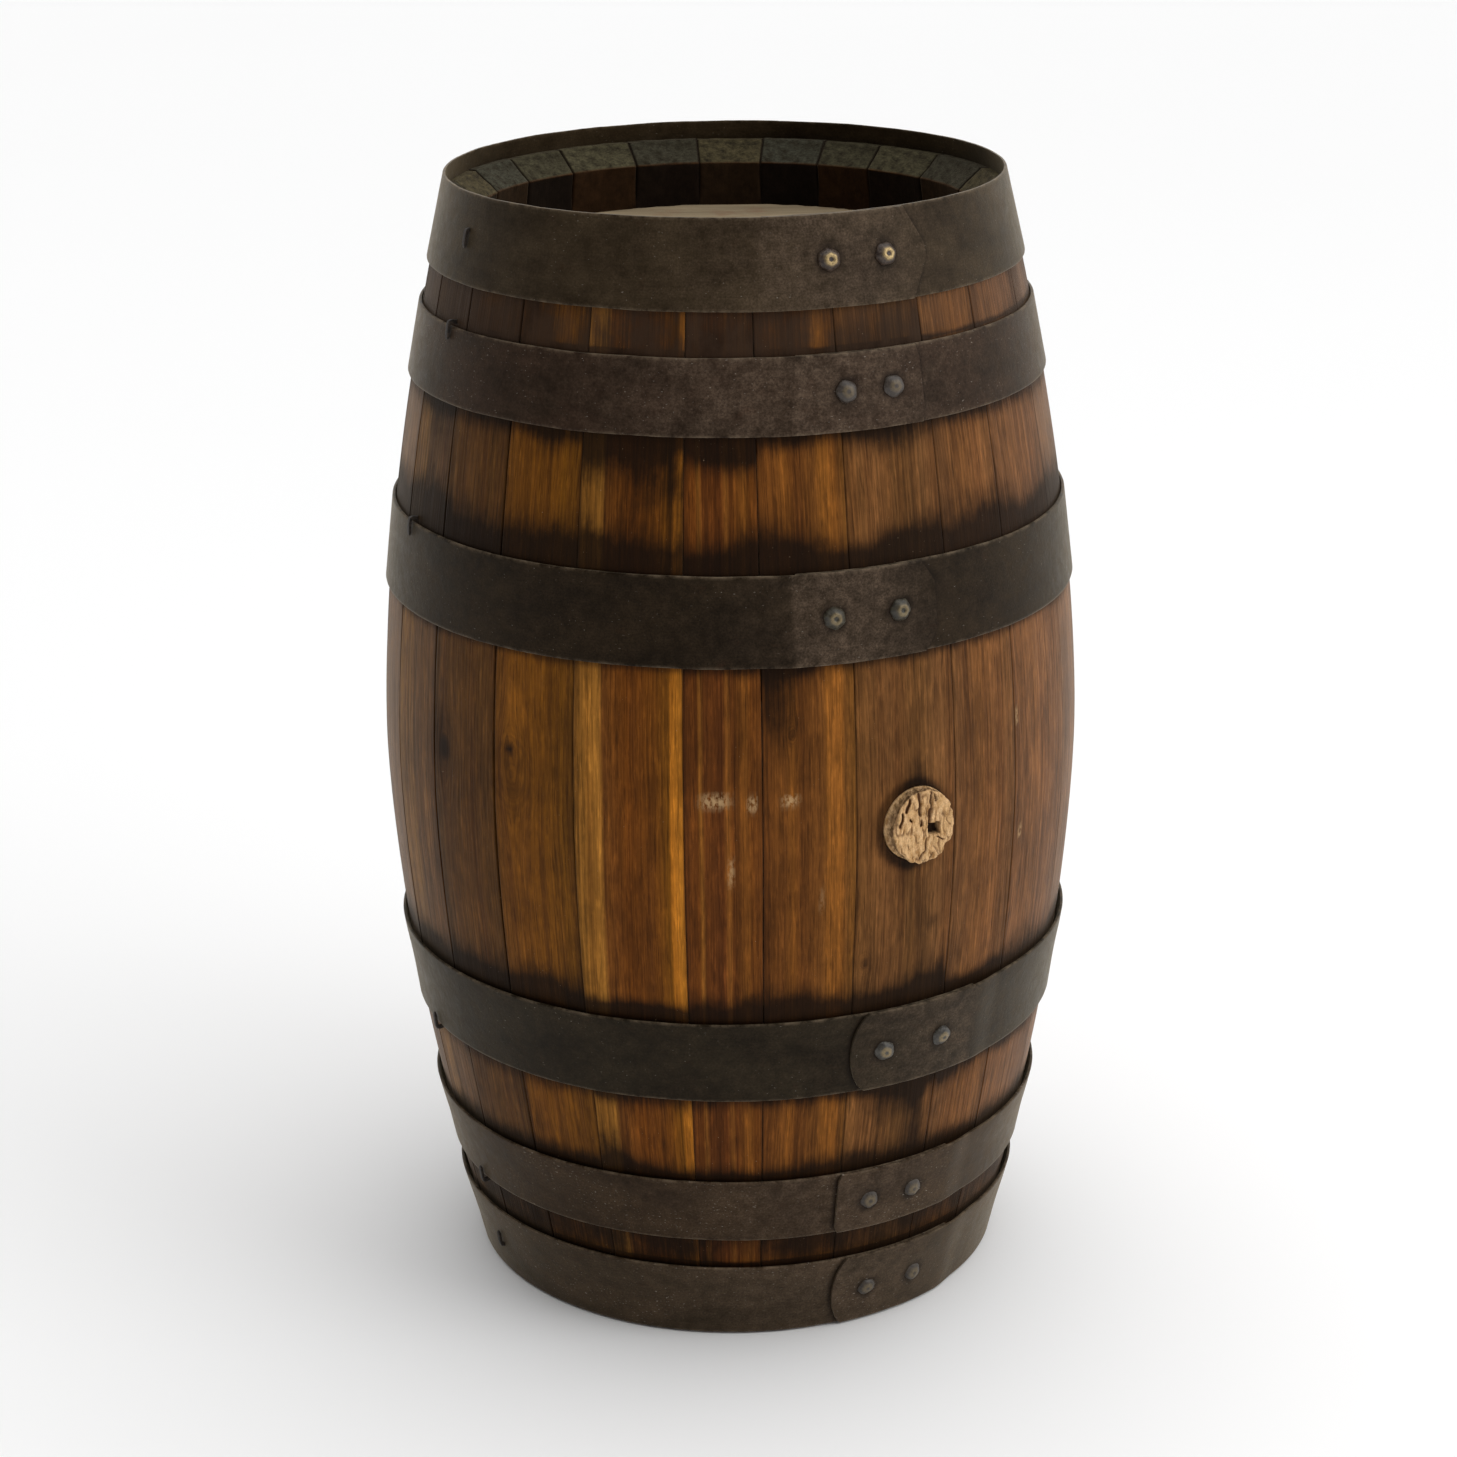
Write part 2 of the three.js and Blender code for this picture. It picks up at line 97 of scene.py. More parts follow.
STAVES = sorted(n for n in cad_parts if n.startswith("stave_"))
STAVE_TOP = float(node_points(STAVES[0])[:, 2].max())
MID_HEIGHT = float(cad_high.z / MM) / 2
radii = np.hypot(*node_points(STAVES[0])[:, :2].T)
BILGE_RADIUS = float(radii.max())
END_RADIUS = float(radii[node_points(STAVES[0])[:, 2] < 0.01].max())
BOW = BILGE_RADIUS - END_RADIUS
BOW_POWER = 1.7  # as in the frame: 2 would be a parabola
BUNG_AZIMUTH, BUNG_HEIGHT = middle("bung")

# ---- Sizes of the fine model ----
SKIN_INSET = 0.4  # fine wood lies this far inside the CAD skin
HOOP_THICKNESS = 1.9
HEAD_THICKNESS = 18.0

# ---- Camera and light ----
CAMERA_AZIMUTH = -29.6
CAMERA_PLACE = (-1.8, -2132, 1116)  # before the turn to its azimuth
CAMERA_PITCH = 19.41
CAMERA_ROLL = -0.66
CAMERA_LENS = 81.8
DARK_SIDE = -38  # the dimmest surroundings, as an azimuth from the camera's side
WORLD_RAMP = {"From Min": 0.8, "From Max": -0.6, "To Min": 0.2, "To Max": 1.15}
KEY_LIGHT = {"azimuth": 62, "elevation": 34, "distance": 3.0, "size": 1.8, "power": 19}
OVERHEAD_STRENGTH = 0.95


def outer_radius(z):
    """Outside radius of the wood: most curved at the bilge, straighter towards both ends."""
    return BILGE_RADIUS - BOW * np.abs(z / MID_HEIGHT - 1) ** BOW_POWER


def outer_slope(z):
    away = z / MID_HEIGHT - 1
    return -math.copysign(BOW_POWER * BOW * abs(away) ** (BOW_POWER - 1) / MID_HEIGHT, away)


def cylinder_points(azimuth, radius, z):
    """Points from azimuths in degrees, radii and heights, which may be arrays."""
    turn = np.radians(azimuth)
    return np.stack(np.broadcast_arrays(radius * np.sin(turn), -radius * np.cos(turn), z), axis=-1)


def smoothstep(low, high, x):
    t = np.clip((np.asarray(x, float) - low) / (high - low), 0, 1)
    return t * t * (3 - 2 * t)


def field(points, size, seed=0):
    """Smooth noise from -1 to 1 at each point; size is the width of its features."""
    shift = Vector((seed * 7.31, seed * 3.17, seed * 5.73))
    flat = np.asarray(points, float).reshape(-1, 3) / size
    values = np.array([noise.noise(Vector(p) + shift) for p in flat])
    return values.reshape(np.shape(points)[:-1])


# ---- Making meshes ----


def new_piece(name, points, faces, material, stands_for=(), attributes=None, body="barrel", sharp=40):
    """One closed mesh from points in millimetres, riding on a body."""
    mesh = bpy.data.meshes.new(name)
    flat = np.asarray(points, float).reshape(-1, 3) * MM
    mesh.from_pydata(flat.tolist(), [], [list(map(int, face)) for face in faces])
    for key, values in (attributes or {}).items():
        is_vector = np.ndim(values) > 1
        layer = mesh.attributes.new(key, "FLOAT_VECTOR" if is_vector else "FLOAT", "POINT")
        numbers = np.asarray(values, float).ravel()
        layer.data.foreach_set("vector" if is_vector else "value", numbers)
    mesh.materials.append(material)
    mesh.polygons.foreach_set("use_smooth", [True] * len(mesh.polygons))
    mesh.set_sharp_from_angle(angle=math.radians(sharp))
    mesh.update()
    piece = bpy.data.objects.new(name, mesh)
    bpy.context.scene.collection.objects.link(piece)
    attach(piece, body)
    if stands_for:
        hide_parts(*stands_for)
    return piece


def loop_faces(rings, size):
    """Quads between successive closed rings of the same size, facing out for rings that climb."""
    faces = []
    for ring in range(rings - 1):
        low, high = ring * size, (ring + 1) * size
        for k in range(size):
            after = (k + 1) % size
            faces.append((low + k, low + after, high + after, high + k))
    return faces


def strip_cap(start, size, flip):
    """Closes a ring that goes out along one side and back along the other, with a strip of quads."""
    half = size // 2
    faces = []
    for k in range(half - 1):
        quad = (start + k, start + k + 1, start + size - 2 - k, start + size - 1 - k)
        faces.append(quad[::-1] if flip else quad)
    return faces


def strip_faces(count, size):
    """Faces of a closed bar of rings that each go out along one side and back along the other."""
    return loop_faces(count, size) + strip_cap(0, size, True) + strip_cap((count - 1) * size, size, False)


def tube_faces(count, size):
    """Faces of a closed tube of rings, with its first and its last ring each closed by one face."""
    ends = [tuple(range(size))[::-1], tuple(range((count - 1) * size, count * size))]
    return loop_faces(count, size) + ends


def there_and_back(front, back):
    """Values across a bar's front, then its back in the other direction."""
    return np.concatenate([front, back[:, ::-1]], axis=1)


def turned_over(faces):
    return [face[::-1] for face in faces]


def skin_frame(azimuth, z):
    """Matrix of a seat on the barrel's skin: x out, y towards +X azimuths, z up the stave."""
    tilt = Matrix.Rotation(math.atan(outer_slope(z)), 4, "Y")
    turn = Matrix.Rotation(math.radians(azimuth - 90), 4, "Z")
    return np.array(turn @ Matrix.Translation((outer_radius(z), 0, z)) @ tilt)


def to_frame(matrix, local):
    return np.asarray(local, float) @ matrix[:3, :3].T + matrix[:3, 3]


# ---- Shader building ----


def linear(code):
    """A colour written as a hex code, in linear light."""
    parts = [int(code[i : i + 2], 16) / 255 for i in (1, 3, 5)]
    return tuple(c / 12.92 if c <= 0.04045 else ((c + 0.055) / 1.055) ** 2.4 for c in parts) + (1.0,)


class Shader:
    """One material's nodes. An input is a socket, a number, a vector or a colour."""

    def __init__(self, name):
        self.material = bpy.data.materials.new(name)
        self.material.use_nodes = True
        self.tree = self.material.node_tree
        self.surface = self.tree.nodes["Principled BSDF"]

    def put(self, socket, value):
        if isinstance(value, bpy.types.NodeSocket):
            self.tree.links.new(value, socket)
        else:
            socket.default_value = value

    def node(self, kind, inputs, **settings):
        made = self.tree.nodes.new(kind)
        for key, value in settings.items():
            setattr(made, key, value)
        for key, value in inputs.items():
            self.put(made.inputs[key], value)
        return made

    def attribute(self, name):
        return self.node("ShaderNodeAttribute", {}, attribute_name=name).outputs

    def split(self, vector):
        return self.node("ShaderNodeSeparateXYZ", {0: vector}).outputs

    def join(self, x, y, z):
        return self.node("ShaderNodeCombineXYZ", {0: x, 1: y, 2: z}).outputs[0]

    def math(self, operation, a, b=0.0, clamp=False):
        made = self.node("ShaderNodeMath", {0: a, 1: b}, operation=operation, use_clamp=clamp)
        return made.outputs[0]

    def scale(self, vector, factors):
        made = self.node("ShaderNodeVectorMath", {0: vector, 1: factors}, operation="MULTIPLY")
        return made.outputs[0]

    def shift(self, vector, offset):
        return self.node("ShaderNodeVectorMath", {0: vector, 1: offset}, operation="ADD").outputs[0]

    def noise(self, vector, detail=3.0, roughness=0.55):
        inputs = {"Vector": vector, "Scale": 1.0, "Detail": detail, "Roughness": roughness}
        return self.node("ShaderNodeTexNoise", inputs).outputs["Fac"]

    def speckle(self, vector, sizes, detail=3.0, roughness=0.55):
        """Noise whose features have these sizes along the vector's three directions."""
        return self.noise(self.scale(vector, tuple(1 / size for size in sizes)), detail, roughness)

    def add(self, a, b, clamp=False):
        return self.math("ADD", a, b, clamp)

    def times(self, a, b, clamp=False):
        return self.math("MULTIPLY", a, b, clamp)

    def remap(self, value, low, high, to_low=0.0, to_high=1.0, smooth=False):
        inputs = {"Value": value, "From Min": low, "From Max": high, "To Min": to_low, "To Max": to_high}
        kind = "SMOOTHSTEP" if smooth else "LINEAR"
        return self.node("ShaderNodeMapRange", inputs, interpolation_type=kind, clamp=True).outputs[0]

    def mix(self, factor, a, b, blend="MIX"):
        made = self.tree.nodes.new("ShaderNodeMix")
        made.data_type = "RGBA"
        made.blend_type = blend
        self.put(made.inputs[0], factor)
        self.put(made.inputs[6], a)
        self.put(made.inputs[7], b)
        return made.outputs[2]

    def stain(self, colour, amount, code):
        """A colour that turns into another by an amount."""
        return self.mix(amount, colour, linear(code))

    def vary(self, colour, pattern, low, high, darkest, palest):
        """A colour multiplied by a pattern, from darkest where it is low to palest where it is high."""
        return self.dim(colour, self.remap(pattern, low, high, darkest, palest))

    def dim(self, colour, amount):
        """A colour multiplied by a number from a socket."""
        if not isinstance(colour, bpy.types.NodeSocket):
            colour = colour[:3]
        made = self.node("ShaderNodeVectorMath", {0: colour, "Scale": amount}, operation="SCALE")
        return made.outputs[0]

    def ramp(self, value, stops, interpolation="LINEAR"):
        made = self.node("ShaderNodeValToRGB", {0: value})
        made.color_ramp.interpolation = interpolation
        points = made.color_ramp.elements
        while len(points) < len(stops):
            points.new(1.0)
        for point, (place, colour) in zip(points, stops):
            point.position = place
            point.color = linear(colour)
        return made.outputs[0]

    def bump(self, height, distance, normal=None, strength=1.0):
        inputs = {"Height": height, "Distance": distance * MM, "Strength": strength}
        if normal is not None:
            inputs["Normal"] = normal
        return self.node("ShaderNodeBump", inputs).outputs[0]

    def finish(self, colour, roughness, normal, **constants):
        self.put(self.surface.inputs["Base Color"], colour)
        self.put(self.surface.inputs["Roughness"], roughness)
        self.put(self.surface.inputs["Normal"], normal)
        for key, value in constants.items():
            self.surface.inputs[key.replace("_", " ")].default_value = value
        return self.material


# ---- Staves: looks ----
# Colours across each stave from its left edge to its right, as place and colour, seen from outside.
PLAIN_TONES = [
    [(0, "#5c3a1c"), (0.3, "#6e4520"), (0.65, "#5a3618"), (1, "#66401d")],
    [(0, "#744820"), (0.4, "#6a3e18"), (0.8, "#784c20"), (1, "#6c431c")],
    [(0, "#50331c"), (0.5, "#5f3c1e"), (1, "#4c2f18")],
    [(0, "#6b3f1a"), (0.25, "#7c4c20"), (0.5, "#633a18"), (1, "#6e4420")],
]
STAVE_TONES = {
    "stave_17": [(0, "#5d4122"), (0.5, "#6e4d2a"), (1, "#5f4020")],
    "stave_18": [(0, "#68471f"), (0.3, "#745023"), (0.5, "#583b1c"), (0.75, "#62411e"), (1, "#493017")],
    "stave_19": [(0, "#3f2912"), (0.2, "#523515"), (0.6, "#583815"), (1, "#503314")],
    "stave_20": [(0, "#5e3a13"), (0.25, "#6f4310"), (0.6, "#72450e"), (0.85, "#68400c"), (1, "#59370e")],
    "stave_21": [(0, "#6c4719"), (0.05, "#966426"), (0.14, "#8a5a20"), (0.24, "#a16c2a"),
                 (0.28, "#6e4116"), (0.5, "#68390d"), (0.75, "#6c3e10"), (0.865, "#74470f"),
                 (0.885, "#a9671c"), (0.98, "#b07022"), (1, "#7a4716")],
    "stave_22": [(0, "#59300f"), (0.18, "#63360f"), (0.22, "#80501c"), (0.27, "#5f3411"), (0.5, "#5a3010"),
                 (0.57, "#7d4c1c"), (0.62, "#5d3310"), (0.8, "#784818"), (0.86, "#653911"), (1, "#6c3e16")],
    "stave_23": [(0, "#5d3512"), (0.25, "#6f4218"), (0.33, "#784819"), (0.42, "#5c3513"), (0.64, "#6b4119"),
                 (0.7, "#8a551f"), (0.84, "#83501d"), (0.89, "#674019"), (1, "#6b441a")],
    "stave_bung": [(0, "#6d4722"), (0.3, "#6c4624"), (0.6, "#61401f"), (0.8, "#6b4726"), (1, "#6c4625")],
    "stave_02": [(0, "#674425"), (0.4, "#6c4522"), (0.7, "#734a27"), (1, "#644325")],
    "stave_03": [(0, "#664225"), (0.35, "#714a29"), (0.7, "#694528"), (1, "#614024")],
    "stave_04": [(0, "#654325"), (0.5, "#704c2b"), (1, "#604022")],
}


def main_tones(name, order):
    return STAVE_TONES.get(name, PLAIN_TONES[order % len(PLAIN_TONES)])


WOOD_GLOSS = {"Specular_IOR_Level": 0.05, "Sheen_Weight": 0.1, "Sheen_Roughness": 0.35,
              "Sheen_Tint": (1.0, 0.78, 0.54, 1.0)}
STEEL_GLOSS = {"Specular_IOR_Level": 0.06, "Sheen_Weight": 0.24, "Sheen_Roughness": 0.35,
               "Sheen_Tint": (1.0, 0.84, 0.58, 1.0)}


DUST_STARTS, DUST_FULL = 655, 668  # heights between which dust on the wood fades in


def oak_shader(name, order, width, tones):
    """Varnished oak: colours across the stave, fine streaks along it, stains, painted shade above the hoops
    and round the cork, dusty chimes.
    """
    shader = Shader(f"oak_{name}")
    grain = shader.attribute("grain")["Vector"]
    across, along, depth = shader.split(grain)
    bevel, inside, stain = shader.split(shader.attribute("zone")["Vector"])
    seed = 13.0 * order

    from_knot, eye, scuff = shader.split(shader.attribute("marks")["Vector"])
    bend, edge, _ = shader.split(shader.attribute("form")["Vector"])
    wander = shader.noise(shader.join(seed, shader.times(along, 1 / 170), 0.0), 2.0)
    moved = shader.add(across, shader.remap(wander, 0.2, 0.8, -1.2, 1.2))
    drawn = shader.add(moved, bend)
    position = shader.join(drawn, along, shader.add(depth, seed))

    place = shader.add(shader.math("DIVIDE", moved, width), 0.5)
    colour = shader.ramp(place, tones)

    broad = shader.speckle(position, (7, 260, 9), 4.0, 0.6)
    fine = shader.speckle(position, (1.6, 110, 3), 5.0, 0.65)
    lines = shader.speckle(position, (0.55, 40, 1.5), 3.0, 0.6)
    blotch = shader.speckle(position, (40, 75, 40), 4.0, 0.6)
    colour = shader.stain(colour, shader.remap(broad, 0.42, 0.68, 0.0, 0.5), "#3f210c")
    colour = shader.vary(colour, fine, 0.3, 0.7, 0.62, 1.38)
    colour = shader.vary(colour, lines, 0.28, 0.5, 0.62, 1.06)
    colour = shader.vary(colour, blotch, 0.3, 0.7, 0.74, 1.24)
    flecks = shader.speckle(position, (2.1, 15, 3), 3.0, 0.6)
    colour = shader.vary(colour, flecks, 0.5, 0.72, 1.0, 1.5)
    pores = shader.speckle(position, (1.7, 24, 2), 3.0, 0.6)
    colour = shader.vary(colour, pores, 0.3, 0.46, 0.58, 1.0)

    cloud = shader.speckle(position, (14, 22, 14), 4.0, 0.62)
    colour = shader.vary(colour, cloud, 0.3, 0.7, 0.82, 1.2)
    # stain holds real stains together with painted shade above the hoops and a painted shadow beside the cork
    soak_and_shade = shader.add(stain, shader.remap(cloud, 0.3, 0.7, -0.2, 0.2))
    soak_and_shade = shader.add(soak_and_shade, shader.remap(fine, 0.3, 0.7, 0.07, -0.07))
    soaked_and_shaded = shader.remap(soak_and_shade, 0.1, 0.95, 0.0, 0.93, smooth=True)
    colour = shader.stain(colour, soaked_and_shaded, "#140c06")
    dusty = shader.remap(along, DUST_STARTS, DUST_FULL, 0.0, 0.42, smooth=True)
    dusty = shader.times(dusty, shader.remap(cloud, 0.3, 0.6, 0.35, 1.0))
    colour = shader.stain(colour, dusty, "#4a382b")

    rings = shader.noise(shader.join(shader.times(from_knot, 0.75), seed, 0.0), 2.0)
    in_knot = shader.remap(from_knot, 14.0, 5.0)
    ringed = shader.times(in_knot, shader.remap(rings, 0.4, 0.6, 0.0, 0.35))
    colour = shader.stain(colour, ringed, "#2f1c0b")
    colour = shader.stain(colour, eye, "#140a05")

    specks = shader.speckle(position, (1.1, 1.6, 1.0), 2.0)
    patches = shader.speckle(position, (30, 40, 30), 2.0)
    speckled = shader.times(shader.remap(specks, 0.72, 0.76), shader.remap(patches, 0.5, 0.62))
    colour = shader.stain(colour, shader.times(speckled, 0.55), "#b59b7c")

    rubbed = shader.speckle(position, (2.2, 5, 1.0), 4.0, 0.65)
    scuffed = shader.times(scuff, shader.remap(rubbed, 0.4, 0.54))
    colour = shader.stain(colour, shader.times(scuffed, 0.85), "#b8976c")

    dust = shader.speckle(grain, (9, 9, 6), 5.0, 0.7)
    sawn = shader.speckle(position, (2.2, 2.2, 1.2), 4.0, 0.7)
    pale = linear(("#524d39", "#484433", "#444338", "#524a34", "#423f33")[order % 5])
    end_grain = shader.mix(shader.remap(dust, 0.35, 0.62), linear("#29241a"), pale)
    end_grain = shader.vary(end_grain, sawn, 0.3, 0.7, 0.6, 1.25)
    colour = shader.mix(bevel, colour, end_grain)
    cellar = linear(("#281c11", "#1a120c", "#2d1d0f", "#17100b")[order % 4])
    wall = shader.vary(cellar, dust, 0.3, 0.7, 0.6, 1.5)
    colour = shader.mix(inside, colour, wall)
    seam_width = shader.remap(wander, 0.35, 0.65, 0.6, 1.4)
    seam = shader.remap(shader.math("DIVIDE", edge, seam_width), 0.5, 1.3, 1.0, 0.0)
    seam = shader.times(seam, shader.remap(bevel, 0.0, 1.0, 0.26, 0.8))
    colour = shader.stain(colour, seam, "#170e08")

    roughness = shader.remap(fine, 0.3, 0.7, 0.5, 0.38)
    roughness = shader.add(roughness, shader.times(soaked_and_shaded, 0.16))
    roughness = shader.add(roughness, shader.times(bevel, 0.4))
    roughness = shader.add(roughness, shader.times(inside, 0.35), clamp=True)
    relief = shader.bump(fine, 0.22)
    relief = shader.bump(lines, 0.12, relief)
    relief = shader.bump(shader.times(sawn, bevel), 0.5, relief)
    return shader.finish(colour, roughness, relief, **WOOD_GLOSS)


# ---- Staves: shape ----
CHIME_BEVEL = 14.0  # height of the sloping bevel at each end
END_FLAT = 6.5
CHIME_DEPTH = 40.0  # stave end to the head
ARRIS = 0.6  # worn round of a stave's long edges
ARRIS_DROP = 0.4
CHIME = [(0.0, END_FLAT), (CHIME_BEVEL, 25.0), (CHIME_DEPTH + 5, 28.0), (CHIME_DEPTH + 5.05, 23.0),
         (CHIME_DEPTH + 12, 23.0), (CHIME_DEPTH + 12.05, 28.0), (58.0, 27.0)]
BELLY_THICKNESS = 21.0

# Stains that hoops leave on the wood: which way from the hoop, strength and reach.
HOOP_STAINS = [
    ("hoop_bilge_top", 1, 1.25, 25), ("hoop_bilge_top", -1, 0.7, 6),
    ("hoop_bilge_bottom", 1, 1.2, 16), ("hoop_bilge_bottom", -1, 0.75, 9),
    ("hoop_quarter_top", 1, 0.8, 90), ("hoop_quarter_top", -1, 0.75, 11),
    ("hoop_quarter_bottom", 1, 1.0, 13), ("hoop_quarter_bottom", -1, 0.85, 50),
]
CREVICE_SHADE = 0.7  # painted shade in the crevice along the upper edge of every hoop
# Stains and bare patches on single staves: azimuth, height, half width in degrees, half height, strength.
STAIN_PATCHES = {
    "stave_18": [(-90, 600, 9, 60, 0.5), (-92, 455, 6, 30, 0.2)],
    "stave_19": [(-83, 412, 3.5, 34, 0.6), (-76, 264, 9, 24, 0.5), (-72, 610, 6, 20, 0.15)],
    "stave_20": [(-59, 683, 2.6, 22, -0.35), (-60, 266, 8, 22, 0.45), (-67, 680, 2, 30, 0.4),
                 (-62, 612, 5, 18, 0.45)],
    "stave_21": [(-44, 614, 7, 30, 0.8), (-40, 585, 6, 26, 0.3), (-53, 611, 3, 18, 0.7),
                 (-53.5, 586, 2.6, 24, 0.3), (-54.3, 681, 1, 26, -0.3), (-49, 681, 5, 20, -0.05),
                 (-37.5, 590, 2, 50, 0.25), (-52.5, 158, 4, 44, 0.5), (-36.9, 681, 0.6, 26, -0.4),
                 (-46, 252, 9, 12, 0.4)],
    "stave_22": [(-31, 617, 8, 22, 0.95), (-29, 66, 7, 20, -0.35), (-31, 262, 8, 12, 0.2),
                 (-31, 676, 6, 9, 0.25)],
    "stave_23": [(-22.5, 462, 4.6, 40, 0.75), (-20, 622, 6, 14, 0.3), (-13, 680, 3.2, 30, -0.25),
                 (-21, 262, 5, 14, 0.3), (-18, 500, 8, 18, 0.15), (-18, 168, 5, 26, 0.25)],
    "stave_bung": [(-3, 612, 7, 20, 0.3), (-4, 692, 6, 9, -0.35), (1, 300, 3, 36, 0.3),
                   (5, 258, 5, 20, 0.4), (-7.5, 284, 1.6, 18, 0.35), (-1, 174, 7, 24, 0.75),
                   (4, 160, 2.4, 30, 0.45), (3.6, 302, 1.3, 6, 0.5), (6, 440, 1.5, 46, 0.12)],
    "stave_02": [(14.5, 682, 7.5, 24, -0.8), (9, 276, 2.6, 18, 0.45), (11, 182, 8, 18, 0.4),
                 (10, 420, 3, 22, 0.22), (17, 612, 5, 14, 0.2), (17.4, 437, 0.9, 11, 0.35)],
    "stave_03": [(29, 680, 10, 24, -0.65), (30, 252, 9, 9, -0.3), (26, 184, 8, 14, 0.2)],
    "stave_04": [(48, 680, 10, 24, -0.5), (48, 590, 6, 22, 0.2)],
}


def hoop_edge(hoop, way):
    low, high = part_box(hoop)
    return (high.z if way > 0 else low.z) / MM


def wood_stain_and_shade(name, azimuth, z, order):
    """How dark the wood is at each point, from the water and iron that crept out from the hoops, with painted
    shade in the crevice above each hoop and a painted shadow of the cork beside the bung.
    """
    total = np.zeros(np.shape(z))
    turn = np.radians(azimuth)
    for k, (hoop, way, strength, reach) in enumerate(HOOP_STAINS):
        beyond = way * (z - hoop_edge(hoop, way))
        vary = field(np.stack([np.cos(turn), np.sin(turn), z / 300], -1) * 4, 1.0, k + 1)
        own = field(np.array([[order * 1.7, k * 2.3, 0.4]]), 1.0, 5)[0]
        length = reach * np.clip(1 + 0.6 * vary + 0.25 * own, 0.35, 2)
        spread = np.where(beyond > -4, np.exp(-((np.clip(beyond, 0, None) / length) ** 1.8)), 0)
        total = total + strength * spread
    for middle_azimuth, height, half_wide, half_tall, strength in STAIN_PATCHES.get(name, []):
        aside = (azimuth - middle_azimuth) / half_wide
        total = total + strength * np.exp(-(aside**2) - ((z - height) / half_tall) ** 2)
    # painted shade: a dark band in the crevice just above each hoop's upper edge
    for hoop in HOOPS:
        total = total + CREVICE_SHADE * np.exp(-(((z - hoop_edge(hoop, 1) - 0.5) / 1.8) ** 2))
    if name == "stave_bung":
        total = np.maximum(total, bung_stain_and_shadow(azimuth, z))
    return total


def bung_stain_and_shadow(azimuth, z):
    side = np.radians(azimuth - BUNG_AZIMUTH) * BILGE_RADIUS
    up = z - BUNG_HEIGHT
    # the ring reaches further to the left: a painted shadow of the proud cork laid over the stain round the
    # mouth
    halo = np.hypot(side + 3, up * 0.97)
    plume = np.exp(-(((side - 1) / 9) ** 2) - ((up - 30) / 13) ** 2)
    trickle = 0.35 * np.exp(-(((side + 6) / 6) ** 2) - ((up + 34) / 16) ** 2)
    return 0.7 * (1 - smoothstep(25, 33, halo)) + 0.6 * plume + trickle


# Knots: azimuth, height, how far the grain bends round them, and how dark their eye is.
KNOTS = {
    "stave_19": [(-81.6, 405, 11, 0.85)],
    "stave_20": [(-66.5, 418, 5, 1.0), (-66, 402, 13, 0.12)],
    "stave_23": [(-20.4, 440, 4, 0.6)],
    "stave_bung": [(-8.6, 281, 4, 0.7)],
    "stave_06": [(85, 300, 12, 0.8)],
    "stave_10": [(150, 520, 10, 0.9)],
    "stave_14": [(-160, 330, 14, 0.7)],
}
# Pale scuffs in the varnish: azimuth, height, half width in millimetres and half height.
SCUFFS = {
    "stave_22": [(-32.2, 399, 9, 4.5), (-26.5, 397, 2.5, 5), (-30, 352, 0.8, 9)],
    "stave_23": [(-20.8, 398, 5, 3.5), (-16, 330, 0.7, 8)],
    "stave_20": [(-60, 470, 0.8, 9)],
    "stave_03": [(22, 422, 1.5, 5), (23.2, 342, 1.5, 4)],
}


FAR_FROM_KNOTS = 99.0


def from_knots(name, azimuth, z):
    """Sideways shift of the grain at each point, distance to the nearest knot, and eye darkness."""
    shift = np.zeros_like(z)
    nearest = np.full_like(z, FAR_FROM_KNOTS)
    eye = np.zeros_like(z)
    for knot_azimuth, height, reach, dark in KNOTS.get(name, []):
        side = np.radians(azimuth - knot_azimuth) * BILGE_RADIUS
        up = z - height
        strength = np.exp(-((side / (1.6 * reach)) ** 2) - (up / (3.2 * reach)) ** 2)
        shift += -np.tanh(side / (0.5 * reach)) * 0.55 * reach * strength
        away = np.hypot(side, 0.62 * up) * 8 / reach
        nearest = np.minimum(nearest, away)
        eye = np.maximum(eye, dark * (1 - smoothstep(2.0, 5.5, away)))
    return shift, nearest, eye


def scuff_mask(name, azimuth, z):
    mask = np.zeros_like(z)
    for scuff_azimuth, height, wide, tall in SCUFFS.get(name, []):
        side = np.radians(azimuth - scuff_azimuth) * BILGE_RADIUS
        mask = np.maximum(mask, np.exp(-((side / wide) ** 4) - ((z - height) / tall) ** 4))
    return mask


def stave_levels():
    """Heights of a stave's rings, closer at its ends and at the hoops' upper edges."""
    ends = np.array([0, 0.6, 1.5, 3, 5, 7, 9, 11, 13, 14, 15, 19, 24, 30, 36, 40, 44,
                     45, 45.05, 52, 52.05, 58])
    upper_edges = np.array([hoop_edge(hoop, 1) for hoop in HOOPS])
    upper_edges = upper_edges[(upper_edges < STAVE_TOP - 70) & (upper_edges > 70)]
    close = (upper_edges[:, None] + [-0.5, 0.8, 2.0, 3.6]).ravel()
    even = np.arange(61, STAVE_TOP - 60, 3.0)
    even = even[np.abs(even[:, None] - close).min(axis=1) > 0.6]
    return np.concatenate([ends, np.sort(np.concatenate([even, close])), (STAVE_TOP - ends)[::-1]])


def inner_radius(z):
    """Inside radius of the wood: bevel, chime wall, groove and hollowed belly."""
    top = [(STAVE_TOP - depth, thickness) for depth, thickness in CHIME]
    run = np.linspace(CHIME[-1][0], STAVE_TOP - CHIME[-1][0], 20)[1:-1]
    share = (run - run[0]) / (run[-1] - run[0])
    hollow = CHIME[-1][1] - (CHIME[-1][1] - BELLY_THICKNESS) * 4 * share * (1 - share)
    heights = [depth for depth, _ in CHIME] + list(run) + [z for z, _ in top][::-1]
    thickness = [t for _, t in CHIME] + list(hollow) + [t for _, t in top][::-1]
    return outer_radius(z) - np.interp(z, heights, thickness)


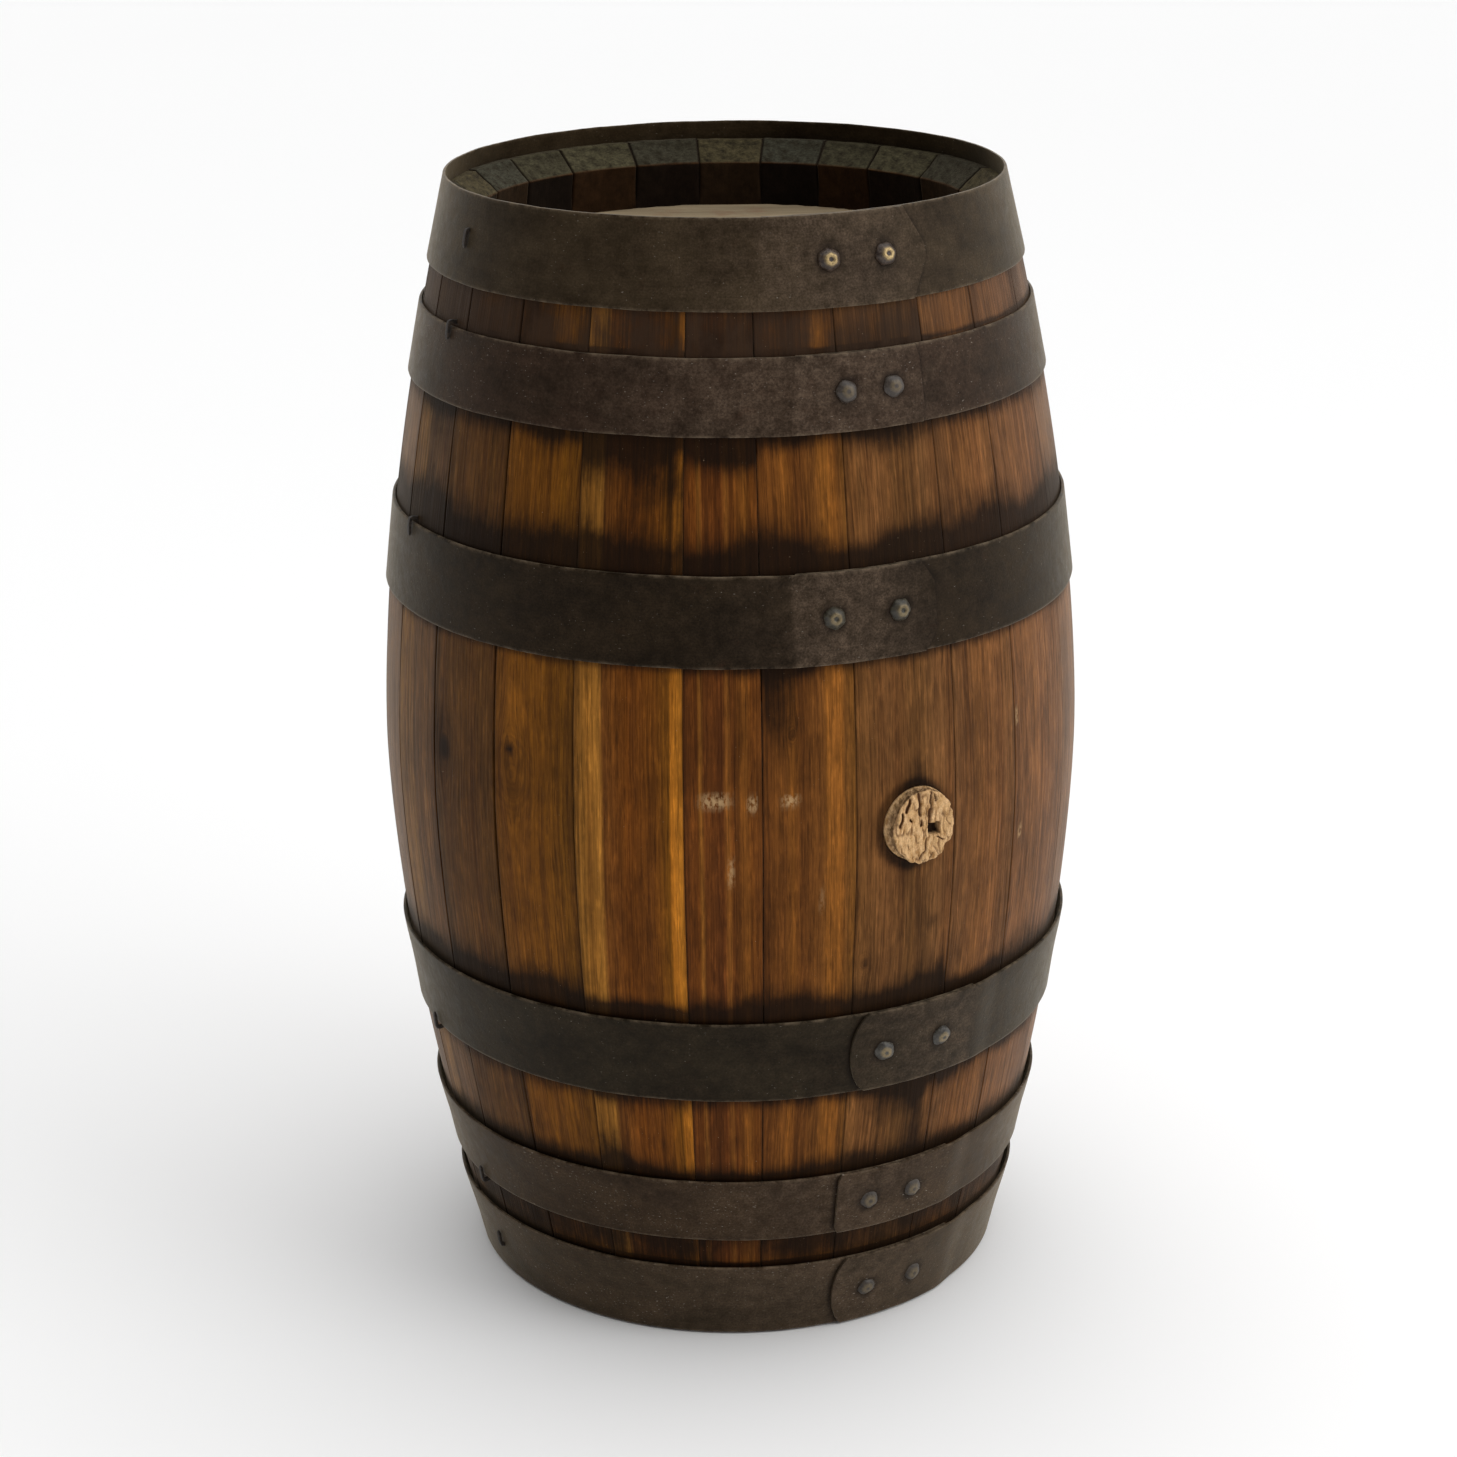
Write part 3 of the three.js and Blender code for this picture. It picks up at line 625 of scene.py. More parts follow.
def column_places(width):
    """Places across a stave, closer together at its worn edges."""
    close = np.array([0, 0.35, 0.8, 1.4, 2.4])
    inner = np.linspace(4.5, width - 4.5, round(width / 3.4))
    return np.concatenate([close, inner, width - close[::-1]]) / width - 0.5


# Joints that have opened, as the azimuth of the joint and the extra gap.
OPEN_JOINTS = [(-84.6, 0.9), (-69.6, 0.8), (-25.0, 0.2)]


def open_gap(azimuth):
    return max([gap for joint, gap in OPEN_JOINTS if abs(azimuth - joint) < 2] + [0.02])


def stave_outside(order, start, end, z, share, proud, flatness):
    """A stave's outer face: radius, azimuth, place across and distance to the nearer edge."""
    centre, half_span = (start + end) / 2, (end - start) / 2
    radius = outer_radius(z) - SKIN_INSET + proud
    local_width = 2 * math.radians(half_span) * outer_radius(z)
    side = share * local_width
    edge_distance = local_width / 2 - np.abs(side)
    wear = 1 + 0.6 * field(np.stack([np.sign(side) * 50, z, np.full_like(z, order * 9)], -1), 22, 3)
    drop = ARRIS_DROP * wear * np.clip(1 - edge_distance / ARRIS, 0, 1) ** 2
    crown = flatness * (1 - (2 * share) ** 2)
    face = np.stack([side, z, np.full_like(z, order * 31.0)], -1)
    uneven = 0.22 * field(face, 70, 1) + 0.08 * field(face * (1, 0.12, 1), 6, 2)
    radius = radius - drop - crown + uneven - 0.25
    creep = 0.5 + 0.5 * field(np.stack([np.zeros_like(z), z, np.full_like(z, order * 5.0)], -1), 60, 4)
    gap = np.where(share < 0, open_gap(start), -open_gap(end)) * np.abs(2 * share) ** 8 * creep
    azimuth = centre + np.degrees((side + gap) / outer_radius(z))
    return radius, azimuth, side, edge_distance


def stave_inside(azimuth, z, edge_distance, end_shift):
    """A stave's inner face: its radius, chipped at the bevel, and its height, ragged at the top."""
    inner = inner_radius(z)
    depth_from_end = np.minimum(z, STAVE_TOP - z)
    in_bevel = smoothstep(CHIME_BEVEL + 1.2, CHIME_BEVEL - 0.2, depth_from_end)
    smooth = cylinder_points(azimuth, inner, z)
    chipped = field(smooth, 5, 6) * 0.55 + field(smooth, 16, 7) * 0.8
    near_end = 1 - smoothstep(CHIME_DEPTH - 8, CHIME_DEPTH, depth_from_end)
    inner = inner + in_bevel * chipped * np.clip(depth_from_end / 3, 0, 1)
    inner = inner + near_end * 1.6 * np.clip(1 - edge_distance / 1.6, 0, 1) ** 1.5
    ragged = end_shift + 0.35 * field(smooth, 7, 8)
    ragged_from = STAVE_TOP - 30
    height = z + np.where(z > ragged_from, ragged * smoothstep(ragged_from, STAVE_TOP, z), 0)
    return inner, height


def stave_attributes(name, order, azimuth, z, side, edge_distance, thickness):
    """What the oak's shader reads at each point, for the front and the back of every ring."""
    nothing = np.zeros_like(z)
    z_ring = there_and_back(z, z)
    at_end = (z_ring < 0.3) | (z_ring > STAVE_TOP - 0.3)
    on_back = np.arange(z_ring.shape[1]) >= z.shape[1]
    end_depth = np.minimum(z_ring, STAVE_TOP - z_ring)
    sloped = smoothstep(CHIME_BEVEL + 0.5, CHIME_BEVEL - 0.5, end_depth)
    bevel = np.where(on_back, sloped, at_end * 1.0)
    wall = np.where(on_back, 1 - bevel, 0)
    # painted shade above the hoops and the cork's painted shadow ride along with the stains here
    stain = there_and_back(wood_stain_and_shade(name, azimuth, z, order), nothing)
    bend, nearest, eye = from_knots(name, azimuth, z)
    edge = there_and_back(edge_distance, edge_distance)
    layers = {
        "grain": [there_and_back(side, side), z_ring, there_and_back(nothing, thickness)],
        "zone": [bevel, wall, stain],
        "marks": [there_and_back(nearest, nothing + FAR_FROM_KNOTS), there_and_back(eye, nothing),
                  there_and_back(scuff_mask(name, azimuth, z), nothing)],
        "form": [there_and_back(bend, nothing), edge, 0 * edge],
    }
    return {key: np.stack(parts, -1).reshape(-1, 3) for key, parts in layers.items()}


def build_stave(name, order):
    start, end = azimuth_span(name)
    levels = stave_levels()
    width = 2 * math.radians((end - start) / 2) * BILGE_RADIUS
    rng = np.random.default_rng(100 + order)
    proud = rng.uniform(-0.15, 0.1)
    flatness = rng.uniform(0.2, 0.8)
    end_shift = rng.uniform(-0.9, 0.0)
    z, share = np.meshgrid(levels, column_places(width), indexing="ij")
    radius, azimuth, side, edge_distance = stave_outside(order, start, end, z, share, proud, flatness)
    inner, height = stave_inside(azimuth, z, edge_distance, end_shift)
    outside = cylinder_points(azimuth, radius, height)
    within = cylinder_points(azimuth, inner, height)
    rings = there_and_back(outside, within)
    faces = strip_faces(len(levels), rings.shape[1])
    attributes = stave_attributes(name, order, azimuth, z, side, edge_distance, radius - inner)
    material = oak_shader(name, order, width, main_tones(name, order))
    return new_piece(f"oak_{name}", rings, faces, material, [name], attributes)


# ---- Bung and its hole ----
BUNG_MOUTH_RADIUS = 25.0
BUNG_TAPER = 0.12
BUNG_PROUD = 8.0
BUNG_LENGTH = 35.0


def bung_radius(depth):
    return BUNG_MOUTH_RADIUS - BUNG_TAPER * depth


def cut_bung_hole(stave):
    """Cuts the tapered hole, with a slightly worn mouth, through the bung stave."""
    seat = skin_frame(BUNG_AZIMUTH, BUNG_HEIGHT)
    steps = [(12, 4.0), (0.6, 1.2), (-1.2, 0.0), (-45, 0.0)]
    turn = np.linspace(0, 2 * math.pi, 64, endpoint=False)
    rings = []
    for out, flare in steps:
        radius = bung_radius(-out) + flare
        rings.append(np.stack([np.full_like(turn, out), radius * np.cos(turn), radius * np.sin(turn)], -1))
    rings = to_frame(seat, np.array(rings[::-1]))
    faces = tube_faces(len(rings), len(turn))
    mesh = bpy.data.meshes.new("bung_cutter")
    mesh.from_pydata((rings.reshape(-1, 3) * MM).tolist(), [], faces)
    cutter = bpy.data.objects.new("bung_cutter", mesh)
    bpy.context.scene.collection.objects.link(cutter)
    whole = stave.data
    cut = stave.modifiers.new("hole", "BOOLEAN")
    cut.object, cut.operation, cut.solver = cutter, "DIFFERENCE", "EXACT"
    bpy.context.view_layer.update()
    made = bpy.data.meshes.new_from_object(stave.evaluated_get(bpy.context.evaluated_depsgraph_get()))
    stave.modifiers.clear()
    stave.data = made
    bpy.data.objects.remove(cutter)
    copy_attributes(whole, made)


def copy_attributes(source, target):
    """Gives every vertex of the cut mesh the attributes of the place it has on the whole one."""
    tree = KDTree(len(source.vertices))
    for vertex in source.vertices:
        tree.insert(vertex.co, vertex.index)
    tree.balance()
    near = [tree.find_n(vertex.co, 3) for vertex in target.vertices]
    picks = np.array([[index for _, index, _ in found] for found in near])
    weights = np.array([[1 / (distance + 1e-6) for _, _, distance in found] for found in near])
    weights /= weights.sum(axis=1, keepdims=True)
    for key in ("grain", "zone", "marks", "form"):
        if key in target.attributes:
            target.attributes.remove(target.attributes[key])
        old = source.attributes[key]
        field_name, width = ("value", 1) if old.data_type == "FLOAT" else ("vector", 3)
        values = np.empty(len(source.vertices) * width)
        old.data.foreach_get(field_name, values)
        blended = (values.reshape(-1, width)[picks] * weights[..., None]).sum(axis=1)
        layer = target.attributes.new(key, old.data_type, "POINT")
        layer.data.foreach_set(field_name, blended.ravel())


def cork_shader():
    """Dry, crumbling cork: pale tan ridges, grooves, cracks and a pit darkened with painted shade, and a
    darker rough side.
    """
    shader = Shader("cork")
    position = shader.attribute("grain")["Vector"]
    sunk, pit, rim = shader.split(shader.attribute("worn")["Vector"])
    streaks = shader.speckle(position, (3, 2.0, 6.5), 4.0, 0.65)
    lumps = shader.speckle(position, (5, 5, 5), 4.0, 0.6)
    fine = shader.speckle(position, (0.8, 0.8, 1.1), 4.0, 0.7)
    colour = shader.mix(shader.remap(streaks, 0.36, 0.6), linear("#a07545"), linear("#e0b888"))
    colour = shader.stain(colour, shader.remap(lumps, 0.42, 0.66, 0.0, 0.6), "#d8ae78")
    colour = shader.vary(colour, fine, 0.3, 0.7, 0.72, 1.2)
    # painted shade: the sunk grooves and cracks, and the pit, are darkened
    colour = shader.stain(colour, shader.remap(sunk, 0.1, 0.85, 0.0, 0.95), "#4a2711")
    colour = shader.stain(colour, shader.remap(pit, 0.2, 0.9), "#2b1c10")
    # the exposed side is darker where the streaks are low
    darker_side = shader.times(rim, shader.remap(streaks, 0.3, 0.6, 0.85, 0.35))
    colour = shader.stain(colour, darker_side, "#2a1a0e")
    relief = shader.bump(fine, 0.35, shader.bump(streaks, 0.6))
    return shader.finish(colour, 0.9, relief, Specular_IOR_Level=0.2)


# Fissures in the cork's face: (across, up) from one end to the other, and half width.
CORK_CRACKS = [
    ((-4.4, 24), (-4.2, 10.5), 1.2), ((5, 24), (5.4, 11), 0.7), ((5.4, 11), (5, 2.5), 1.7),
    ((2.3, -9.5), (1.2, -17), 0.8), ((0.5, -17.5), (-3.4, -21.5), 0.9), ((-12, 21), (-15.5, 13), 0.9),
    ((-18.8, 12), (-20.6, 3), 0.9), ((-3.3, 6), (-3.2, 1.8), 0.8), ((-12.6, 7.6), (-11.6, 6.2), 0.8),
    ((8.5, 22.5), (10, 17), 0.7), ((7, -19), (5.6, -23.5), 0.6), ((11, -9.5), (17, -12.5), 0.5),
]
CORK_PIT = (8.4, -2.4, 5.0)  # square pit: across, up, half size
CORK_SQUASH = 0.08  # the part that stands out has shrunk across by this share


def cork_relief(y, z):
    """How far the cork's face is sunk at each point, from 0 to 1: cracks with grooves, and the pit."""
    flat = np.stack([y, z, np.zeros_like(y)], -1)
    y_w = y + 1.5 * field(flat, 6, 11)
    z_w = z + 1.3 * field(flat, 5, 12)
    sunk = np.zeros_like(y)
    for (y0, z0), (y1, z1), half in CORK_CRACKS:
        run_y, run_z = y1 - y0, z1 - z0
        along = np.clip(((y_w - y0) * run_y + (z_w - z0) * run_z) / (run_y**2 + run_z**2), 0, 1)
        far = np.hypot(y_w - y0 - along * run_y, z_w - z0 - along * run_z)
        sunk = np.maximum(sunk, 1 - smoothstep(half * 0.4, half * 1.6, far))
    upright = np.stack([y_w, 0.3 * z_w, np.zeros_like(y)], -1)
    groove = np.clip(1 - 3.6 * np.abs(field(upright, 3.0, 13)), 0, 1) ** 1.4
    patchy = smoothstep(-0.25, 0.3, field(flat, 8, 14))
    sunk = np.maximum(sunk, 0.62 * groove * patchy)
    across, up, size = CORK_PIT
    square = np.maximum(np.abs(y - across), np.abs(z - up) * 1.15)
    hole = 1 - smoothstep(size - 0.5, size + 0.4, square + 0.5 * field(flat, 3, 15))
    return sunk, hole


def cork_rings():
    """Rings of the cork from the foot up its side and in over its face, as how far out and radius."""
    top = BUNG_PROUD - 0.4
    foot = BUNG_PROUD - BUNG_LENGTH
    rings = [(foot + 0.3, share * bung_radius(-foot)) for share in (0.3, 0.6, 0.88)]
    rings += [(out, bung_radius(-out) - 0.6) for out in np.linspace(foot + 1.5, -2, 10)]
    rings += [(out, bung_radius(-out) - 0.6) for out in np.linspace(-1, top - 1.6, 9)]
    rim = bung_radius(-top) - 0.6
    for angle in np.radians([25, 50, 72]):
        rings.append((top - 1.6 + 1.6 * math.sin(angle), rim - 1.6 + 1.6 * math.cos(angle)))
    rings += [(top, radius) for radius in np.linspace(rim - 1.4, 0.35, 56)]
    return np.array(rings), top


def build_bung():
    """The cork: a grooved, pitted face on a rough, slightly shrunken end, and a tapered body."""
    turns = 168
    turn = np.linspace(0, 2 * math.pi, turns, endpoint=False)
    rings, top = cork_rings()
    out = rings[:, :1] * np.ones(turns)
    radius = rings[:, 1:] * np.ones(turns)
    local = np.stack([out, radius * np.sin(turn), radius * np.cos(turn)], -1)
    rough = field(local, 4, 21) * 0.6 + field(local, 1.6, 22) * 0.3
    sunk, hole = cork_relief(local[..., 1], local[..., 2])
    on_face = smoothstep(top - 1.8, top - 0.4, out)
    exposed = smoothstep(-2.5, 0.5, out)
    local[..., 0] += np.where(on_face > 0, rough - 0.4, 0) - on_face * (sunk * 1.9 + hole * 5.5)
    ragged = 0.7 * field(local * (1, 1, 0.4), 6, 23) - 0.5 * sunk
    chip = 1 + exposed * (rough + 2.0 * ragged - 1.0) / np.maximum(radius, 6)
    local[..., 1:] *= chip[..., None]
    local[..., 1] *= 1 - CORK_SQUASH * exposed
    points = to_frame(skin_frame(BUNG_AZIMUTH, BUNG_HEIGHT), local)
    faces = turned_over(tube_faces(len(rings), turns))
    side = exposed * (1 - on_face)
    # worn: painted shade of the sunk face and of the pit, and the darker side
    worn = np.stack([np.maximum(sunk * on_face, 0.5 * side * (rough > 0.1)), hole * on_face, side], -1)
    attributes = {"grain": local.reshape(-1, 3), "worn": worn.reshape(-1, 3)}
    material = cork_shader()
    return new_piece("cork_bung", points, faces, material, ["bung"], attributes, "bung", 75)


# ---- Hoops ----
# side: 1 where the outer layer ends towards +X. tail and lead: rivet to the outer and hidden ends.
# nose: how far the end's middle stands past its corners, and clip: height of the clipped corners.
# dark and pale: the steel's two colours. dust: azimuth, half width in degrees and strength of grey dust
# and painted light, and the share of it that lies only on the lap.
# chips: the noise level above which the surface is nicked, so that less means more nicks.
HOOPS = {
    "hoop_head_top": {"side": 1, "tail": 30, "lead": 40, "nose": 13, "clip": 24,
                      "dark": "#20170a", "pale": "#3a2f20", "dust": (-12, 24, 0.8, 0.4), "chips": 0.7},
    "hoop_quarter_top": {"side": 1, "tail": 21, "lead": 30, "nose": 2, "clip": 8,
                         "dark": "#1c1107", "pale": "#302117", "dust": (-18, 30, 1.0, 0.15), "chips": 0.68},
    "hoop_bilge_top": {"side": 1, "tail": 26, "lead": 23, "nose": 9, "clip": 13,
                       "dark": "#160e04", "pale": "#251b0e", "dust": (-13, 14, 0.9, 0.65), "chips": 0.7},
    "hoop_bilge_bottom": {"side": -1, "tail": 23, "lead": 26, "nose": 11, "clip": 0,
                          "dark": "#171107", "pale": "#272014", "dust": (10, 20, 0.6, 0.6), "chips": 0.7},
    "hoop_quarter_bottom": {"side": -1, "tail": 23, "lead": 26, "nose": 2, "clip": 5, "chips": 0.655,
                            "dark": "#291c0f", "pale": "#3b2c1c", "dust": (-14, 26, 0.7, 0.3)},
    "hoop_head_bottom": {"side": -1, "tail": 25, "lead": 26, "nose": 9, "clip": 0,
                         "dark": "#2e2417", "pale": "#433526", "dust": (-14, 30, 0.7, 0.3), "chips": 0.655},
}
LIFT = HOOP_THICKNESS + 0.15
JOGGLE = 26.0
PAINTED_SHADE_REACH = 10.5  # painted shade round each rivet, from its middle
HOOP_FLARE = 1.1  # the upper edge of the hoops below the bilge stands off the wood


def steel_shader(name, order, hoop):
    """Dark, blotchy strip steel: mill scale, grey dust mixed with painted light, painted shade round the
    rivets and the lap's end, scratches, nicks and pale worn rims.
    """
    shader = Shader(f"steel_{name}")
    grain = shader.attribute("grain")["Vector"]
    rim, dusty, painted_shade = shader.split(shader.attribute("wear")["Vector"])
    position = shader.shift(grain, (order * 517.0, order * 91.0, 0.0))
    blotch = shader.speckle(position, (60, 35, 10), 5.0, 0.62)
    mottle = shader.speckle(position, (9, 9, 9), 5.0, 0.7)
    fine = shader.speckle(position, (1.4, 1.4, 1.4), 4.0, 0.7)
    brush = shader.speckle(position, (45, 0.9, 1.0), 3.0, 0.6)
    colour = shader.mix(shader.remap(blotch, 0.36, 0.66), linear(hoop["dark"]), linear(hoop["pale"]))
    # grey dust together with painted light on the hoop's front and on its lap
    dust_and_light = shader.remap(mottle, 0.3, 0.68, 0.25, 1.0)
    dust_and_light = shader.times(dust_and_light, shader.remap(fine, 0.3, 0.6, 0.55, 1.0))
    dust_and_light = shader.times(dust_and_light, dusty, clamp=True)
    colour = shader.stain(colour, shader.times(dust_and_light, 0.8), "#5a4b3e")
    rust = shader.speckle(position, (22, 16, 16), 5.0, 0.7)
    colour = shader.stain(colour, shader.remap(rust, 0.6, 0.78, 0.0, 0.5), "#2e1a0e")
    colour = shader.vary(colour, fine, 0.3, 0.7, 0.72, 1.28)
    colour = shader.vary(colour, mottle, 0.3, 0.7, 0.82, 1.2)
    colour = shader.vary(colour, brush, 0.3, 0.7, 0.92, 1.08)
    # painted shade round the rivets' feet and along the lap's outer end
    colour = shader.stain(colour, shader.times(painted_shade, 0.75, True), "#130b07")
    worn = shader.times(rim, shader.remap(mottle, 0.4, 0.62))
    colour = shader.stain(colour, shader.times(worn, 0.5), "#80705c")
    nick = shader.speckle(position, (2.6, 1.2, 1.0), 2.0)
    nick_level = hoop["chips"]
    nicked = shader.remap(nick, nick_level, nick_level + 0.05)
    nicked = shader.times(nicked, shader.remap(blotch, 0.42, 0.58))
    colour = shader.stain(colour, shader.times(nicked, 0.6), "#a0968a")
    roughness = shader.remap(mottle, 0.3, 0.7, 0.36, 0.56)
    relief = shader.bump(mottle, 0.25)
    relief = shader.bump(fine, 0.08, relief)
    return shader.finish(colour, roughness, relief, **STEEL_GLOSS)


def hoop_cone(name):
    """Inner radius of a hoop at each height."""
    low, high = (corner.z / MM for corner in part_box(name))
    foot = low if low > 2 else 0.0
    head = min(high, STAVE_TOP)
    slope = (outer_radius(head) - outer_radius(foot)) / (head - foot)
    return lambda z: outer_radius(foot) + slope * (z - foot) + 0.05


def hoop_seam(name):
    """Azimuth midway between a hoop's rivets, and half the distance between them in degrees."""
    pair = [middle(f"rivet_{name[5:]}_{i}")[0] for i in (1, 2)]
    return sum(pair) / 2, abs(pair[1] - pair[0]) / 2


def end_inset(hoop, up, width):
    """How far a hoop's outer end is drawn back at each height, for its nose or clipped corners."""
    share = np.abs(2 * up / width - 1)
    if hoop["clip"] == 0:
        return hoop["nose"] * (1 - np.sqrt(np.clip(1 - share**2 * 0.92, 0, 1))) * 1.35
    start = 1 - 2 * hoop["clip"] / width
    return hoop["nose"] * np.clip((share - start) / (1 - start), 0, 1)


def hoop_painted_shade(name, azimuth, z):
    """Painted shade on the hoop round the feet of its rivets."""
    painted_shade = np.zeros_like(z)
    for i in (1, 2):
        rivet_azimuth, rivet_z = middle(f"rivet_{name[5:]}_{i}")
        aside = ((azimuth - rivet_azimuth + 180) % 360 - 180) * math.radians(outer_radius(rivet_z))
        far = np.hypot(aside, z - rivet_z)
        painted_shade = np.maximum(painted_shade, 1 - smoothstep(6.5, PAINTED_SHADE_REACH, far))
    return painted_shade


def hoop_grid(first, last, degree, width):
    """Degrees round the barrel and millimetres up the strap, closer at its ends and edges."""
    tip = np.array([0, 0.4, 1, 2, 3.2, 4.6, 6.5, 9, 12, 16]) * degree
    between = np.arange(first + 20 * degree, last - 18 * degree, 3 * degree)
    runs = np.concatenate([first + tip, between, (last - tip)[::-1]])
    rim = np.array([2, 0.8, 0.25, 0])
    rows = np.concatenate([rim[::-1], np.linspace(5, width - 5, 11), width - rim])
    return np.meshgrid(runs, rows, indexing="ij")


def hoop_wear_dust_and_painted_light(name, azimuth, z, edge, in_lap, beyond_end):
    """How bare the rim of a hoop is at each point, how dusty its face is with painted light on it, and how
    dark the painted shade lies round its rivets and along the lap's end.
    """
    middle_azimuth, half_wide, strength, on_lap = HOOPS[name]["dust"]
    aside = ((azimuth - middle_azimuth + 180) % 360 - 180) / half_wide
    # painted shade round the rivets and along the lap's outer end
    painted_shade = np.maximum(hoop_painted_shade(name, azimuth, z), np.exp(-((beyond_end / 2.4) ** 2)))
    # grey dust and painted light, stronger on the lap by its share
    dust = strength * (1 - on_lap + on_lap * in_lap) * np.exp(-(aside**2)) + 0.12
    return np.stack([np.clip(1 - edge / 1.3, 0, 1), dust, painted_shade], -1)


def build_hoop(name, order):
    """A strap that runs once round the barrel and steps out over its own start."""
    hoop = HOOPS[name]
    low, high = (corner.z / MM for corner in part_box(name))
    width = high - low
    cone = hoop_cone(name)
    seam, half_pitch = hoop_seam(name)
    degree = math.degrees(1 / (float(cone((low + high) / 2)) + HOOP_THICKNESS))
    first = -half_pitch - hoop["lead"] * degree
    last = 360 + half_pitch + hoop["tail"] * degree
    bend_end = 360 + first - 1.5 * degree

    run, up = hoop_grid(first, last, degree, width)
    inset = end_inset(hoop, up, width)
    run = run - smoothstep(last - 32 * degree, last, run) * inset * degree
    azimuth = seam + hoop["side"] * run
    lift = LIFT * smoothstep(bend_end - JOGGLE * degree, bend_end, run)
    edge = np.minimum(up, width - up)
    round_off = 0.45 * np.clip(1 - edge / 0.8, 0, 1) ** 2
    strip = np.stack([run / degree, up, np.full_like(up, order * 40.0)], -1)
    wave = 0.28 * field(strip, 75, 31) + 0.05 * field(strip, 11, 32)
    waver = 0.35 * field(strip * (1, 0.2, 1), 34, 33) + 0.12 * field(strip * (1, 0.2, 1), 7, 34)
    z = low + up
    z = z + waver * (1 - np.clip(edge / 12, 0, 1)) - np.sign(up - width / 2) * 0.35 * (edge < 12)
    z = np.clip(z, low, high)
    flare = HOOP_FLARE * smoothstep(0.35, 1.0, up / width) * (high < MID_HEIGHT)
    end_lift = 0.3 * (1 - np.clip((last - run) / (14 * degree), 0, 1))
    inner = cone(z) + lift + wave + flare + end_lift
    outer = inner + HOOP_THICKNESS - round_off
    inside = cylinder_points(azimuth, inner + round_off * 0.4, z)
    rings = there_and_back(inside, cylinder_points(azimuth, outer, z))
    faces = strip_faces(*rings.shape[:2])
    if hoop["side"] > 0:
        faces = turned_over(faces)

    in_lap = smoothstep(bend_end - 4 * degree, bend_end + 2 * degree, run)
    beyond_end = (run - (last - 360)) / degree + inset
    wear = hoop_wear_dust_and_painted_light(name, azimuth, z, edge, in_lap, beyond_end)
    attributes = {
        "grain": there_and_back(strip, strip).reshape(-1, 3),
        "wear": there_and_back(wear, wear).reshape(-1, 3),
    }
    material = steel_shader(name, order, hoop)
    return new_piece(f"steel_{name}", rings, faces, material, [name], attributes)


# ---- Rivets ----
RIVET_FORMS = {
    # Profiles from the foot to the middle, as radius and height.
    "cone": [(7.0, 0.0), (6.9, 0.5), (6.2, 1.7), (5.0, 3.1), (4.0, 4.0), (3.4, 4.5), (2.9, 4.7), (2.2, 4.65),
             (1.6, 4.3), (1.2, 3.9), (0.6, 3.75)],
    "dome": [(6.8, 0.0), (6.75, 0.5), (6.3, 1.4), (5.5, 2.3), (4.4, 3.1), (3.2, 3.7), (1.9, 4.0), (0.8, 4.1)],
    "low": [(6.2, 0.0), (6.1, 0.4), (5.6, 1.1), (4.7, 1.8), (3.4, 2.4), (1.9, 2.75), (0.7, 2.85)],
}
# How worn down to bright metal each pair's crest is, which also serves as a painted highlight, and the two
# colours of the rest.
RIVETS = {
    "head_top": {"form": "cone", "bright": 1.0, "dark": "#231610", "pale": "#493a2e"},
    "quarter_top": {"form": "dome", "bright": 0.2, "dark": "#2a211a", "pale": "#3f362e"},
    "bilge_top": {"form": "cone", "bright": 0.35, "dark": "#221c12", "pale": "#3c3729"},
    "bilge_bottom": {"form": "dome", "bright": 0.5, "dark": "#1f1b15", "pale": "#46423a"},
    "quarter_bottom": {"form": "low", "bright": 0.25, "dark": "#261d14", "pale": "#3f3529"},
    "head_bottom": {"form": "low", "bright": 0.25, "dark": "#261d14", "pale": "#3f3529"},
}


def rivet_shader(name, look):
    shader = Shader(f"rivet_{name}")
    position = shader.attribute("grain")["Vector"]
    tip = shader.attribute("tip")["Fac"]
    mottle = shader.speckle(position, (2.2,) * 3, 4.0, 0.65)
    fine = shader.speckle(position, (0.6,) * 3, 3.0, 0.6)
    colour = shader.mix(shader.remap(mottle, 0.38, 0.62), linear(look["dark"]), linear(look["pale"]))
    # the crest's shine: worn bright metal that also serves as a painted highlight
    shine = shader.times(tip, shader.remap(fine, 0.35, 0.6, 0.45, 1.0))
    shine = shader.times(shine, look["bright"])
    colour = shader.stain(colour, shine, "#b89f70")
    shader.put(shader.surface.inputs["Metallic"], shader.times(shine, 0.8))
    roughness = shader.remap(mottle, 0.3, 0.7, 0.3, 0.5)
    return shader.finish(colour, roughness, shader.bump(mottle, 0.4), Specular_IOR_Level=0.5)


